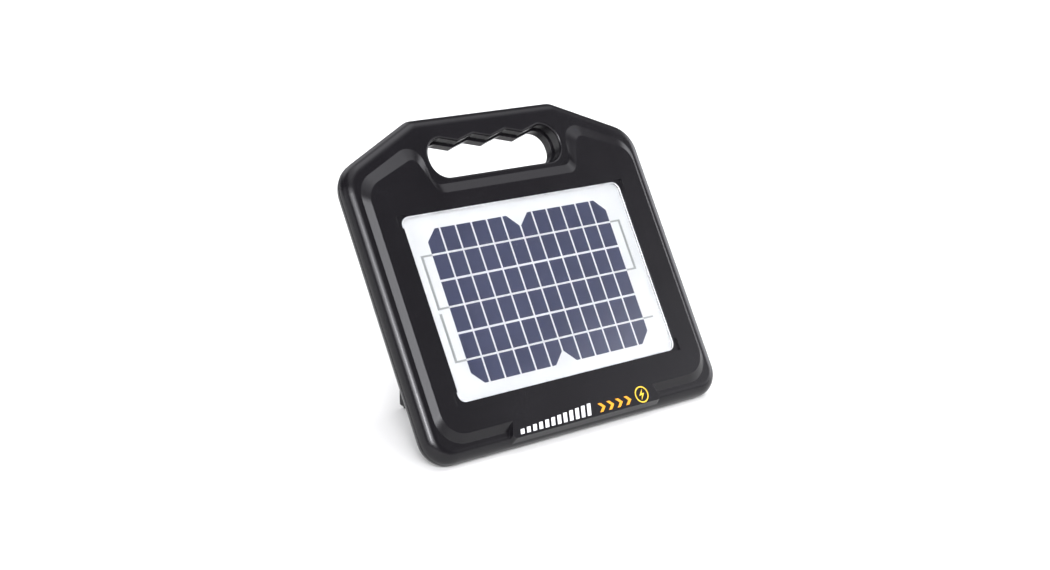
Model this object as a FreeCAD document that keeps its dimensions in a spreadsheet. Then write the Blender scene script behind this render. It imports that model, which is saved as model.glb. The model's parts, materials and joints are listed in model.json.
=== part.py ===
"""Portable solar fence energizer, leaning back on its fold-out rear stand.

Everything is drawn with the case upright: X to the right, Y from the face
towards the back, Z up the face, Y = 0 near the plane of the solar cells.
At the end each piece gets the placement that leans the case back and stands
it on the floor.  Lengths are in millimetres, angles in degrees.
"""
import FreeCAD, Part
import math
import os
import re

import Sketcher

Vector = FreeCAD.Vector
Rotation = FreeCAD.Rotation
Placement = FreeCAD.Placement

# ---------------------------------------------------------------------------
# Driving dimensions: alias, value, meaning
# ---------------------------------------------------------------------------
SIZES = [
    ("lean_angle", 30.2, "how far the face leans back"),
    # outline of the case
    ("case_width", 273, "overall width"),
    ("case_height", 248, "overall height along the face"),
    ("crown_half", 66, "half the length of the straight top edge"),
    ("shoulder_angle", 24.6, "slope of the shoulders"),
    ("bottom_radius", 20, "lower corners"),
    ("shoulder_radius", 25, "corners between side and shoulder"),
    ("crown_radius", 14, "corners between shoulder and top edge"),
    ("rim_front", 0.8, "front plane of the rim"),
    ("parting", 11.2, "plane where the two shells meet"),
    ("rim_back", 19.6, "back plane of the rim"),
    ("rim_radius", 8.3, "rounding of the rim's front"),
    ("back_radius", 7.6, "rounding of the rim's back"),
    ("seam_size", 0.5, "small chamfer either side of the parting line"),
    ("rim_wall", 5.5, "inset of the hollow from the outline"),
    ("wall", 2.6, "moulded wall"),
    # raised plateau round the panel
    ("plateau_rise", 3.5, "height of the plateau above the rim"),
    ("plateau_half", 122.2, "half width of the plateau's top"),
    ("plateau_low", 17.1, "lower edge of the plateau's top"),
    ("side_bevel", 4.4, "width of the bevel at the sides"),
    ("low_bevel", 6.3, "width of the bevel along the bottom"),
    ("shoulder_z", 199.6, "top of the plateau's straight sides"),
    ("peak_x", 76.0, "peak of the plateau beside the hand hole"),
    ("peak_z", 217.4, "height of that peak"),
    ("saddle_x", 63.4, "inner foot of that peak"),
    ("saddle_z", 187.9, "edge of the plateau below the hand hole"),
    ("foot_shoulder_z", 205.5, "same corners at the foot of the bevel"),
    ("foot_peak_x", 68.2, "foot of the peak"),
    ("foot_peak_z", 231.6, "height of the foot of the peak"),
    ("foot_saddle_z", 195.4, "foot of the bevel below the hand hole"),
    # tab on the lower edge that carries the printed mark
    ("tab_low_half", 70.5, "half width of the tab near the bottom edge"),
    ("tab_top_half", 64.5, "half width of the tab at its top"),
    ("tab_top", 21.8, "top of the tab"),
    ("tab_low", 4.8, "where the tab starts to curve under"),
    ("tab_foot_low", 2.2, "lowest edge of the tab"),
    ("tab_root", 3.4, "depth of the tab's root in the rim"),
    ("tab_flare", 1.8, "how much wider the tab is at its root"),
    # hand hole
    ("grip_half", 60.5, "half width of the hand hole"),
    ("grip_low", 199.8, "bottom of the hand hole"),
    ("grip_top", 230.4, "top of the finger notches"),
    ("grip_radius", 14.5, "end corners of the hand hole"),
    ("finger_pitch", 30.1, "distance between the finger notches"),
    ("finger_depth", 4.2, "depth of a finger notch"),
    ("finger_radius", 5, "rounding at the bottom of a notch"),
    ("grip_edge", 1.8, "rounding of the hand hole's edges"),
    ("grip_wall", 3.4, "wall round the hand hole"),
    ("grip_step", 1.4, "how much smaller the hole is in the rear shell"),
    # solar panel
    ("glass_width", 202.4, "panel width"),
    ("glass_height", 136.5, "panel height"),
    ("glass_low", 38.5, "lower edge of the panel"),
    ("glass_shift", -1.2, "panel off the middle of the case"),
    ("glass_radius", 6.3, "panel corners"),
    ("glass_front", -1.4, "front of the glass"),
    ("glass_back", 0.4, "back of the glass"),
    ("ribbon_front", 0.55, "front of the tabbing ribbons"),
    ("ribbon_thick", 0.15, "tabbing ribbon"),
    ("cell_thick", 0.2, "silicon cell"),
    ("sheet_thick", 0.5, "white backsheet"),
    ("bead_thick", 0.8, "adhesive bead behind the panel"),
    ("bead_width", 7, "width of that bead"),
    ("panel_gap", 0.45, "gap between panel and pocket wall"),
    ("ledge_width", 10, "ledge that carries the panel"),
    ("ledge_thick", 2.4, "thickness of that ledge"),
    ("tray_wall", 2.8, "wall round the panel pocket"),
    ("relief_size", 9.5, "corner reliefs of the pocket"),
    ("relief_reach", 4.2, "how far a relief reaches past the pocket"),
    ("relief_depth", 1.5, "depth of a relief below the plateau"),
    ("cell_pitch", 14.0, "distance between cell columns"),
    ("row_pitch", 39.1, "distance between cell rows"),
    ("cell_gap", 1.6, "gap between cells"),
    ("cell_columns", 12, "cells in a row"),
    ("cell_rows", 3, "rows of cells"),
    ("cell_chamfer", 9.0, "cut corners of the wafer"),
    ("array_shift_x", -2.1, "cell array off the middle of the case"),
    ("array_shift_z", -0.6, "cell array off the panel's centre"),
    ("ribbon_width", 1.4, "tabbing ribbon"),
    ("bus_width", 2.0, "ribbon along the panel's edge"),
    ("bus_reach", 9.1, "bus ribbon's distance from the array"),
    ("bus_split", 3.6, "gap between the two left bus ribbons"),
    # case on the back
    ("box_half", 98, "half width of the rear box"),
    ("box_low", 32, "bottom of the rear box"),
    ("box_top", 190, "top of the rear box"),
    ("box_back", 59, "back of the rear box"),
    ("box_corner", 12, "upright corners of the rear box"),
    ("box_edge", 4.5, "rounding of the box's back edges"),
    ("box_root", 3.5, "fillet where the box meets the rim"),
    # housing screws and seal
    ("boss_radius", 4.5, "screw boss"),
    ("screw_side_x", 118, "screws down the sides"),
    ("screw_side_low", 45, "lower side screws"),
    ("screw_side_high", 150, "upper side screws"),
    ("screw_top_x", 84, "screws beside the hand hole"),
    ("screw_top_z", 214, "screws beside the hand hole"),
    ("screw_low_x", 50, "screws along the bottom"),
    ("screw_low_z", 14, "screws along the bottom"),
    ("screw_radius", 1.5, "thread of the housing screws"),
    ("head_radius", 2.9, "head of the housing screws"),
    ("head_height", 2.2, "head of the housing screws"),
    ("head_gap", 0.3, "clearance round a screw head"),
    ("cross_size", 0.8, "width of a cross recess"),
    ("cross_depth", 1.2, "depth of a cross recess"),
    ("seal_near", 1.8, "outer inset of the seal groove"),
    ("seal_far", 3.8, "inner inset of the seal groove"),
    ("seal_depth", 1.6, "depth of the seal groove"),
    # fold-out stand
    ("hinge_y", 54.2, "hinge axis of the stand"),
    ("hinge_z", 163, "hinge axis of the stand"),
    ("leg_outer", 74.3, "outer face of the stand's legs"),
    ("leg_inner", 61.5, "inner face of the stand's legs"),
    ("leg_half", 4.4, "half thickness of the stand"),
    ("leg_web", 2.2, "wall of the stand's channel section"),
    ("heel_reach", 9.3, "heel above the hinge that stops the stand"),
    ("heel_front", 0.8, "heel towards the case"),
    ("heel_back", 2.2, "heel away from the case"),
    ("foot_height", 12.6, "cross bar at the foot"),
    ("pad_thick", 1.6, "rubber strip under the foot"),
    ("bay_gap", 1.0, "clearance round the folded stand"),
    ("bay_floor", 48.5, "floor of the stand's bay"),
    ("bay_wall", 2.4, "wall round the bay"),
    ("bay_low", 41.6, "lower edge of the bay"),
    ("bay_top", 173, "upper edge of the bay"),
    ("island_low", 58, "lower edge of the panel between the legs"),
    ("pin_radius", 2.5, "hinge pin"),
    ("pin_head", 4.5, "head of the hinge pin"),
    ("pin_head_thick", 2, "head of the hinge pin"),
    ("pin_play", 0.06, "radial play of leg on pin"),
    ("pin_boss", 5.2, "boss round the pin"),
    ("pin_inset", 62.3, "inner end of the pin"),
    # battery and its cover
    ("battery_left", -46, "battery, left end"),
    ("battery_right", 55, "battery, right end"),
    ("battery_front", 7.2, "battery, side towards the panel"),
    ("battery_back", 54, "battery, side towards the cover"),
    ("battery_low", 68, "underside of the battery"),
    ("battery_high", 138, "top of the battery"),
    ("shelf_thick", 2.4, "shelves that hold the battery"),
    ("shelf_front", 14, "front edge of the shelves"),
    ("hatch_half", 58.5, "half width of the battery cover"),
    ("hatch_low", 59.5, "lower edge of the battery cover"),
    ("hatch_high", 147.5, "upper edge of the battery cover"),
    ("hatch_thick", 2.2, "battery cover"),
    ("hatch_radius", 5, "corners of the battery cover"),
    ("hatch_gap", 0.3, "gap round the battery cover"),
    ("mouth_half", 56.5, "half width of the battery opening"),
    ("mouth_low", 66.5, "lower edge of the battery opening"),
    ("mouth_high", 139.5, "upper edge of the battery opening"),
    ("mouth_frame", 3.2, "thickening behind the ledge of the cover"),
    ("gasket_thick", 0.6, "flat gasket of the battery cover"),
    ("hatch_screw_x", 46, "screws of the battery cover"),
    ("hatch_screw_edge", 3.6, "cover screws in from the cover's edge"),
    # circuit board and what it carries
    ("board_half", 90, "half width of the circuit board"),
    ("board_low", 142, "lower edge of the board"),
    ("board_high", 180, "upper edge of the board"),
    ("board_front", 36, "component side of the board"),
    ("board_thick", 1.6, "board"),
    ("post_x", 85, "posts of the board"),
    ("post_low", 147.5, "lower posts"),
    ("post_high", 175, "upper posts"),
    ("post_radius", 3.5, "posts of the board"),
    ("small_screw", 1.3, "thread of the small screws"),
    ("small_head", 2.6, "head of the small screws"),
    # controls on the back
    ("strip_half", 57, "half width of the recessed control strip"),
    ("strip_low", 154, "lower edge of the control strip"),
    ("strip_high", 182, "upper edge of the control strip"),
    ("strip_depth", 0.6, "depth of the control strip"),
    ("control_z", 168, "height of the switch, lamps and socket"),
    ("switch_x", -36, "centre of the rocker switch"),
    ("lamp_x", 8, "lamps either side of the centre line"),
    ("socket_x", 30, "centre of the charging socket"),
    ("rocker_throw", 24, "travel of the rocker"),
    # terminals on the right flank
    ("terminal_y", 40, "axis of the terminals behind the glass"),
    ("fence_z", 122, "fence terminal"),
    ("earth_z", 78, "earth terminal"),
    ("stud_radius", 3, "terminal stud"),
    ("stud_tip", 126, "outer end of the studs"),
    ("stud_groove", 0.5, "groove that parts a stud's free end from its threaded part"),
    ("stud_root", 84, "inner end of the studs"),
    ("collar_radius", 10, "insulating collar"),
    ("collar_thick", 3.2, "insulating collar"),
    ("knob_radius", 8.5, "terminal knob"),
    ("knob_length", 15, "terminal knob"),
    ("knob_start", 103.2, "inner face of the knobs"),
    ("knob_play", 0.05, "radial play of knob on stud"),
]

doc = FreeCAD.newDocument("fence_energizer")
dims = doc.addObject("Spreadsheet::Sheet", "dims")
for row, (alias, value, meaning) in enumerate(SIZES, 1):
    dims.set("A%d" % row, alias)
    dims.set("B%d" % row, str(value))
    dims.set("C%d" % row, meaning)
    dims.setAlias("B%d" % row, alias)
doc.recompute()
ALIASES = {alias for alias, value, meaning in SIZES}


def cells(formula):
    """Point every alias in a formula at its cell in the sheet."""
    return re.sub(r"[a-z_]+", lambda m: "dims." + m[0] if m[0] in ALIASES else m[0], formula)


def size(formula):
    """Work a formula out as a number."""
    return float(dims.evalExpression(cells(formula)))


def bind(item, prop, formula):
    """Tie a property to a formula."""
    item.setExpression(prop, cells(formula))


# ---------------------------------------------------------------------------
# Sketches and the features made from them
# ---------------------------------------------------------------------------
# the origin plane across each axis, and whether its normal points along it
PLANES = {"X": ("YZ_Plane", True), "Y": ("XZ_Plane", False), "Z": ("XY_Plane", True)}
case_pieces = []
stand_pieces = []


def new_body(label, family=case_pieces):
    body = doc.addObject("PartDesign::Body", label)
    family.append(body)
    return body


def new_sketch(body, name, axis, level, shift=("0", "0")):
    """A sketch across an axis, at a level on it."""
    role, along = PLANES[axis]
    plane = [item for item in body.Origin.OriginFeatures if item.Role == role][0]
    sketch = body.newObject("Sketcher::SketchObject", name)
    sketch.AttachmentSupport = [(plane, "")]
    sketch.MapMode = "FlatFace"
    bind(sketch, "AttachmentOffset.Base.x", shift[0])
    bind(sketch, "AttachmentOffset.Base.y", shift[1])
    bind(sketch, "AttachmentOffset.Base.z", level if along else "-(%s)" % level)
    return sketch


def constrain(sketch, kind, where, formula):
    """Add a dimension to a sketch and tie it to a formula."""
    index = sketch.addConstraint(Sketcher.Constraint(kind, *where, size(formula)))
    bind(sketch, "Constraints[%d]" % index, formula)


def draw_loop(sketch, corners):
    """A closed outline of (u, v, radius) corners; radius None is a sharp one."""
    first = sketch.GeometryCount
    count = len(corners)
    points = [Vector(size(u), size(v), 0) for u, v, radius in corners]
    for i in range(count):
        sketch.addGeometry(Part.LineSegment(points[i], points[(i + 1) % count]), False)
    for i in range(count):
        sketch.addConstraint(
            Sketcher.Constraint("Coincident", first + i, 2, first + (i + 1) % count, 1))
    for i, (u, v, radius) in enumerate(corners):
        constrain(sketch, "DistanceX", (-1, 1, first + i, 1), u)
        constrain(sketch, "DistanceY", (-1, 1, first + i, 1), v)
    for i, (u, v, radius) in enumerate(corners):
        if radius is None:
            continue
        before = points[i - 1]
        after = points[(i + 1) % count]
        added = sketch.GeometryCount
        sketch.fillet(first + (i - 1) % count, first + i, (before + points[i]) * 0.5,
                      (points[i] + after) * 0.5, size(radius), True, True)
        arc = [k for k in range(added, sketch.GeometryCount)
               if isinstance(sketch.Geometry[k], Part.ArcOfCircle)][0]
        constrain(sketch, "Radius", (arc,), radius)


def draw_disc(sketch, u, v, radius):
    circle = Part.Circle(Vector(size(u), size(v), 0), Vector(0, 0, 1), size(radius))
    index = sketch.addGeometry(circle, False)
    constrain(sketch, "DistanceX", (-1, 1, index, 3), u)
    constrain(sketch, "DistanceY", (-1, 1, index, 3), v)
    constrain(sketch, "Radius", (index,), radius)


def disc(u, v, radius):
    return ("disc", u, v, radius)


def rectangle(us, vs, radius=None):
    low_u, high_u = us
    low_v, high_v = vs
    return [(low_u, low_v, radius), (high_u, low_v, radius),
            (high_u, high_v, radius), (low_u, high_v, radius)]


def mirrored(corners):
    """Close a right half, listed from bottom to top, with its mirror image."""
    left = [("-(%s)" % u, v, radius) for u, v, radius in reversed(corners)]
    return corners + left


def prism(body, name, axis, span, *loops, cut=False):
    """Add or cut the outlines between two levels on an axis."""
    start, end = span
    sketch = new_sketch(body, name + "_sketch", axis, start)
    for loop in loops:
        if loop[0] == "disc":
            draw_disc(sketch, *loop[1:])
        else:
            draw_loop(sketch, loop)
    doc.recompute()
    volume = body.Shape.Volume if cut else 0
    feature = body.newObject("PartDesign::Pocket" if cut else "PartDesign::Pad", name)
    feature.Profile = sketch
    forward = size(end) > size(start)
    along_normal = forward == PLANES[axis][1]
    feature.Reversed = along_normal if cut else not along_normal
    bind(feature, "Length", "abs((%s) - (%s))" % (end, start))
    sketch.Visibility = False
    doc.recompute()
    if cut and body.Shape.Volume >= volume - 1e-6:
        raise RuntimeError("%s cuts nothing from %s" % (name, body.Label))
    return feature


def block(body, name, xs, ys, zs, radius=None, cut=False):
    """A box between pairs of levels, with rounded corners seen from the back."""
    return prism(body, name, "Y", ys, rectangle(xs, zs, radius), cut=cut)


def turned(body, name, axis, centre, profile, cut=False):
    """Turn a profile of (distance along the axis, radius) about an X or Y axis."""
    if axis == "X":
        sketch = new_sketch(body, name + "_sketch", "Z", centre[1], ("0", centre[0]))
    else:
        sketch = new_sketch(body, name + "_sketch", "X", centre[0], ("0", centre[1]))
    draw_loop(sketch, [(along, radius, None) for along, radius in profile])
    doc.recompute()
    volume = body.Shape.Volume if cut else 0
    kind = "PartDesign::Groove" if cut else "PartDesign::Revolution"
    feature = body.newObject(kind, name)
    feature.Profile = sketch
    feature.ReferenceAxis = (sketch, ["H_Axis"])
    feature.Angle = 360
    sketch.Visibility = False
    doc.recompute()
    if cut and body.Shape.Volume >= volume - 1e-6:
        raise RuntimeError("%s cuts nothing from %s" % (name, body.Label))
    return feature


def loft(body, name, near, far):
    """A solid between two outlines, each (level on Y, corners)."""
    sketches = []
    for end, (level, corners) in zip(("foot", "top"), (near, far)):
        sketch = new_sketch(body, "%s_%s" % (name, end), "Y", level)
        draw_loop(sketch, corners)
        sketch.Visibility = False
        sketches.append(sketch)
    doc.recompute()
    feature = body.newObject("PartDesign::AdditiveLoft", name)
    feature.Profile = sketches[0]
    feature.Sections = [sketches[1]]
    feature.Ruled = True
    doc.recompute()
    return feature


def dress(body, name, kind, amount, chosen):
    """Fillet or chamfer the edges of a body that a test picks out."""
    doc.recompute()
    tip = body.Tip
    names = ["Edge%d" % (i + 1) for i, edge in enumerate(tip.Shape.Edges) if chosen(edge)]
    if not names:
        raise RuntimeError("%s finds no edge on %s" % (name, body.Label))
    feature = body.newObject("PartDesign::" + kind, name)
    feature.Base = (tip, names)
    bind(feature, "Radius" if kind == "Fillet" else "Size", amount)
    doc.recompute()
    return feature


def lies_at(edge, axis, formula):
    """Whether an edge lies in the plane at a level on an axis."""
    level = size(formula)
    box = edge.BoundBox
    low, high = {"X": (box.XMin, box.XMax), "Y": (box.YMin, box.YMax),
                 "Z": (box.ZMin, box.ZMax)}[axis]
    return abs(low - level) < 1e-4 and abs(high - level) < 1e-4


# ---------------------------------------------------------------------------
# Outlines that several pieces share
# ---------------------------------------------------------------------------
PLATEAU = "rim_front - plateau_rise"
SHOULDER_DROP = "(case_width / 2 - crown_half) * tan(shoulder_angle)"


def case_outline(inset="0"):
    """The outline of the case, or the same shape further in."""
    side = "case_width / 2 - (%s)" % inset
    shoulder = "case_height - %s - (%s) * tan(45 - shoulder_angle / 2)" % (SHOULDER_DROP, inset)
    crown = "crown_half - (%s) * tan(shoulder_angle / 2)" % inset
    return mirrored([
        (side, inset, "bottom_radius - (%s)" % inset),
        (side, shoulder, "shoulder_radius - (%s)" % inset),
        (crown, "case_height - (%s)" % inset, "crown_radius - (%s)" % inset),
    ])


def hand_hole(inset="0"):
    """Stadium-like hole with four finger notches along its top."""
    side, low, top = "grip_half - " + inset, "grip_low + " + inset, "grip_top - " + inset
    bend = "grip_radius - " + inset
    corners = [(side, low, bend), (side, top, bend)]
    for half_steps in (1.5, 1, 0.5):
        notch = half_steps in (1.5, 0.5)
        level = top if notch else top + " - finger_depth"
        corners.append(("finger_pitch * %s" % half_steps, level, "finger_radius" if notch else None))
    left = [("-(%s)" % u, v, radius) for u, v, radius in reversed(corners)]
    return corners + [("0", top + " - finger_depth", None)] + left


def grip_sleeve():
    """Outer face of the wall round the hand hole."""
    side = "grip_half + grip_wall"
    return rectangle(("-(%s)" % side, side), ("grip_low - grip_wall", "grip_top + grip_wall"),
                     "grip_radius")


def plateau_top():
    return mirrored([
        ("plateau_half", "plateau_low", "18"),
        ("plateau_half", "shoulder_z", "17"),
        ("peak_x", "peak_z", "6.5"),
        ("saddle_x", "saddle_z", "9"),
    ])


def plateau_foot():
    side = "plateau_half + side_bevel"
    return mirrored([
        (side, "plateau_low - low_bevel", "21"),
        (side, "foot_shoulder_z", "19"),
        ("foot_peak_x", "foot_peak_z", "13"),
        ("saddle_x + 0.5", "foot_saddle_z", "7.5"),
    ])


def tab_outline(grow, low):
    """The tab that carries the mark, wider towards the bottom edge."""
    return mirrored([
        ("tab_low_half + (%s)" % grow, low, "3"),
        ("tab_top_half + (%s)" % grow, "tab_top + (%s)" % grow, "4"),
    ])


def stand_bay(grow="0"):
    """The U-shaped bay that the folded stand drops into."""
    outer = "leg_outer + bay_gap + (%s)" % grow
    inner = "leg_inner - bay_gap - (%s)" % grow
    return mirrored([
        (outer, "bay_low - (%s)" % grow, "2"),
        (outer, "bay_top + (%s)" % grow, "2"),
        (inner, "bay_top + (%s)" % grow, "2"),
        (inner, "island_low + (%s)" % grow, "2"),
    ])


def both_sides(x, z):
    return [(x, z), ("-(%s)" % x, z)]


SCREWS = (both_sides("screw_side_x", "screw_side_low") + both_sides("screw_side_x", "screw_side_high")
          + both_sides("screw_top_x", "screw_top_z") + both_sides("screw_low_x", "screw_low_z"))
POSTS = both_sides("post_x", "post_low") + both_sides("post_x", "post_high")
HATCH_SCREWS = (both_sides("hatch_screw_x", "hatch_low + hatch_screw_edge")
                + both_sides("hatch_screw_x", "hatch_high - hatch_screw_edge"))
TERMINALS = {"fence": "fence_z", "earth": "earth_z"}


def discs(places, radius):
    return [disc(x, z, radius) for x, z in places]


def crosses(body, name, places, levels, arm):
    """Cross recesses in the heads of a group of screws."""
    half = "cross_size / 2"
    for i, (x, z) in enumerate(places):
        upright = rectangle(("%s - %s" % (x, half), "%s + %s" % (x, half)),
                            ("%s - %s" % (z, arm), "%s + %s" % (z, arm)))
        across = rectangle(("%s - %s" % (x, arm), "%s + %s" % (x, arm)),
                           ("%s - %s" % (z, half), "%s + %s" % (z, half)))
        prism(body, "%s_upright_%d" % (name, i), "Y", levels, upright, cut=True)
        prism(body, "%s_across_%d" % (name, i), "Y", levels, across, cut=True)


# ---------------------------------------------------------------------------
# Levels behind the face
# ---------------------------------------------------------------------------
CELL_FRONT = "ribbon_front + ribbon_thick"
SHEET_FRONT = "ribbon_front + ribbon_thick + cell_thick"
SHEET_BACK = SHEET_FRONT + " + sheet_thick"
LEDGE_FRONT = SHEET_BACK + " + bead_thick"
LEDGE_BACK = LEDGE_FRONT + " + ledge_thick"
GLASS_HIGH = "glass_low + glass_height"
FRONT_HOLLOW = "rim_front + wall"
REAR_HOLLOW = "rim_back - wall"
BOX_HOLLOW = "box_back - wall"
ISLAND_HALF = "leg_inner - bay_gap"


def panel_frame(grow):
    """Rectangle round the panel, grown or shrunk by a margin."""
    side = "glass_width / 2 + (%s)" % grow
    return (("glass_shift - (%s)" % side, "glass_shift + (%s)" % side),
            ("glass_low - (%s)" % grow, "%s + (%s)" % (GLASS_HIGH, grow)))


def make_front_shell():
    shell = new_body("front_shell")
    prism(shell, "face", "Y", ("rim_front", "parting"), case_outline())
    dress(shell, "rim_rounding", "Fillet", "rim_radius", lambda e: lies_at(e, "Y", "rim_front"))
    dress(shell, "seam_chamfer", "Chamfer", "seam_size", lambda e: lies_at(e, "Y", "parting"))
    loft(shell, "plateau", ("rim_front", plateau_foot()), (PLATEAU, plateau_top()))
    loft(shell, "tab", ("tab_root", tab_outline("tab_flare", "tab_foot_low")),
         (PLATEAU, tab_outline("0", "tab_low")))
    prism(shell, "hollow", "Y", ("parting", FRONT_HOLLOW), case_outline("rim_wall"), grip_sleeve(),
          cut=True)
    xs, zs = panel_frame("panel_gap + tray_wall")
    block(shell, "tray", xs, ("rim_front + 0.4", LEDGE_BACK), zs, "glass_radius + tray_wall")
    prism(shell, "bosses", "Y", ("rim_front + 1", "parting"), *discs(SCREWS, "boss_radius"))
    xs, zs = panel_frame("panel_gap")
    block(shell, "panel_pocket", xs, (PLATEAU, LEDGE_FRONT), zs, "glass_radius", cut=True)
    xs, zs = panel_frame("-ledge_width")
    block(shell, "panel_window", xs, (PLATEAU, LEDGE_BACK + " + 1"), zs, "glass_radius", cut=True)
    reliefs = []
    for side in (-1, 1):
        for z in ("glass_low", GLASS_HIGH):
            up = 1 if z == GLASS_HIGH else -1
            x_far = "glass_shift + %d * (glass_width / 2 + relief_reach)" % side
            x_near = "glass_shift + %d * (glass_width / 2 + relief_reach - relief_size)" % side
            z_far = "%s + %d * relief_reach * 0.4" % (z, up)
            z_near = "%s + %d * (relief_reach * 0.4 - relief_size)" % (z, up)
            xs = (x_near, x_far) if side > 0 else (x_far, x_near)
            zs = (z_near, z_far) if up > 0 else (z_far, z_near)
            reliefs.append(rectangle(xs, zs, "1.2"))
    prism(shell, "corner_reliefs", "Y", (PLATEAU, PLATEAU + " + relief_depth"), *reliefs, cut=True)
    prism(shell, "screw_holes", "Y", ("parting", "rim_front + wall + 1"),
          *discs(SCREWS, "screw_radius"), cut=True)
    prism(shell, "seal_groove", "Y", ("parting", "parting - seal_depth"),
          case_outline("seal_near"), case_outline("seal_far"), cut=True)
    prism(shell, "hand_hole", "Y", (PLATEAU + " - 1", "parting + 1"), hand_hole(), cut=True)
    low, high, half = size("grip_low") - 1, size("grip_top") + 1, size("grip_half") + 1
    dress(shell, "hole_rounding", "Fillet", "grip_edge",
          lambda e: lies_at(e, "Y", "rim_front") and e.BoundBox.ZMin > low
          and e.BoundBox.ZMax < high and abs(e.BoundBox.Center.x) < half
          and e.BoundBox.XMax < half)
    return shell


def make_rear_shell():
    shell = new_body("rear_shell")
    prism(shell, "back", "Y", ("parting", "rim_back"), case_outline())
    dress(shell, "rim_rounding", "Fillet", "back_radius", lambda e: lies_at(e, "Y", "rim_back"))
    dress(shell, "seam_chamfer", "Chamfer", "seam_size", lambda e: lies_at(e, "Y", "parting"))
    block(shell, "box", ("-box_half", "box_half"), ("rim_back - 1", "box_back"),
          ("box_low", "box_top"), "box_corner")
    dress(shell, "box_rounding", "Fillet", "box_edge", lambda e: lies_at(e, "Y", "box_back"))
    root = size("box_half") + 1
    dress(shell, "box_root", "Fillet", "box_root",
          lambda e: lies_at(e, "Y", "rim_back") and abs(e.BoundBox.Center.x) < root
          and e.BoundBox.XMax < root and e.BoundBox.XMin > -root
          and e.BoundBox.ZMin > size("box_low") - 1 and e.BoundBox.ZMax < size("box_top") + 1)
    prism(shell, "hollow", "Y", ("parting", REAR_HOLLOW), case_outline("rim_wall"), grip_sleeve(),
          cut=True)
    block(shell, "box_hollow", ("-(box_half - wall)", "box_half - wall"), ("parting", BOX_HOLLOW),
          ("box_low + wall", "box_top - wall"), "box_corner - wall", cut=True)
    prism(shell, "bosses", "Y", ("parting", "rim_back - 1"), *discs(SCREWS, "boss_radius"))
    prism(shell, "posts", "Y", ("board_front + board_thick", "box_back - 1"),
          *discs(POSTS, "post_radius"))
    prism(shell, "bay_walls", "Y", ("bay_floor - bay_wall", "box_back - 1"), stand_bay("bay_wall"))
    for side in (1, -1):
        name = "right" if side > 0 else "left"
        prism(shell, "pin_boss_" + name, "X",
              ("%d * (leg_outer + bay_gap + 0.5)" % side, "%d * (box_half - 1)" % side),
              disc("hinge_y", "hinge_z", "pin_boss - 0.6"))
    block(shell, "mouth_frame", ("-(%s - 0.5)" % ISLAND_HALF, "%s - 0.5" % ISLAND_HALF),
          ("box_back - wall - mouth_frame", "box_back - 1"), ("hatch_low - 1", "hatch_high + 2"))
    for name, level in (("lower", "battery_low - shelf_thick - 0.2"), ("upper", "battery_high + 0.2")):
        block(shell, name + "_shelf", ("battery_left + 2", "battery_right - 2"),
              ("shelf_front", "box_back - wall - mouth_frame + 1"),
              (level, "%s + shelf_thick" % level))
    prism(shell, "bay", "Y", ("box_back", "bay_floor"), stand_bay(), cut=True)
    for side in (1, -1):
        name = "right" if side > 0 else "left"
        prism(shell, "pin_hole_" + name, "X",
              ("%d * (box_half + 1)" % side, "%d * (leg_outer + bay_gap - 0.5)" % side),
              disc("hinge_y", "hinge_z", "pin_radius"), cut=True)
        prism(shell, "pin_seat_" + name, "X",
              ("%d * (box_half + 1)" % side, "%d * (box_half - pin_head_thick)" % side),
              disc("hinge_y", "hinge_z", "pin_head + 0.1"), cut=True)
    block(shell, "battery_mouth", ("-mouth_half", "mouth_half"),
          ("box_back + 1", "box_back - wall - mouth_frame - 1"), ("mouth_low", "mouth_high"), "3",
          cut=True)
    block(shell, "hatch_seat", ("-(hatch_half + hatch_gap)", "hatch_half + hatch_gap"),
          ("box_back + 1", "box_back - hatch_thick - gasket_thick"),
          ("hatch_low - hatch_gap", "hatch_high + hatch_gap"), "hatch_radius", cut=True)
    prism(shell, "hatch_screw_holes", "Y", ("box_back", "box_back - wall - mouth_frame + 0.6"),
          *discs(HATCH_SCREWS, "small_screw"), cut=True)
    prism(shell, "post_holes", "Y", ("board_front + board_thick", "board_front + 14"),
          *discs(POSTS, "small_screw"), cut=True)
    prism(shell, "screw_holes", "Y", ("rim_back + 1", "parting - 1"),
          *discs(SCREWS, "screw_radius + 0.2"), cut=True)
    prism(shell, "screw_seats", "Y", ("rim_back + 1", "rim_back - head_height - 0.4"),
          *discs(SCREWS, "head_radius + head_gap"), cut=True)
    block(shell, "control_strip", ("-strip_half", "strip_half"),
          ("box_back + 1", "box_back - strip_depth"), ("strip_low", "strip_high"), "4", cut=True)
    block(shell, "switch_hole", ("switch_x - 6.5", "switch_x + 6.5"), ("box_back + 1", "box_back - 9"),
          ("control_z - 9.8", "control_z + 9.8"), "1", cut=True)
    prism(shell, "lamp_holes", "Y", ("box_back + 1", "box_back - 9"),
          *discs(both_sides("lamp_x", "control_z"), "2.4"), cut=True)
    prism(shell, "socket_hole", "Y", ("box_back + 1", "box_back - 9"),
          disc("socket_x", "control_z", "6"), disc("socket_x + 21", "control_z", "1.6"), cut=True)
    for name, z in TERMINALS.items():
        prism(shell, name + "_terminal_hole", "X", ("box_half + 1", "box_half - 9"),
              disc("terminal_y", z, "5"), cut=True)
    prism(shell, "hand_hole", "Y", ("parting - 1", "rim_back + 1"), hand_hole("grip_step"), cut=True)
    low, high, half = size("grip_low") - 1, size("grip_top") + 1, size("grip_half") + 1
    dress(shell, "hole_rounding", "Fillet", "grip_edge",
          lambda e: lies_at(e, "Y", "rim_back") and e.BoundBox.ZMin > low
          and e.BoundBox.ZMax < high and e.BoundBox.XMax < half and e.BoundBox.XMin > -half)
    return shell


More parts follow.
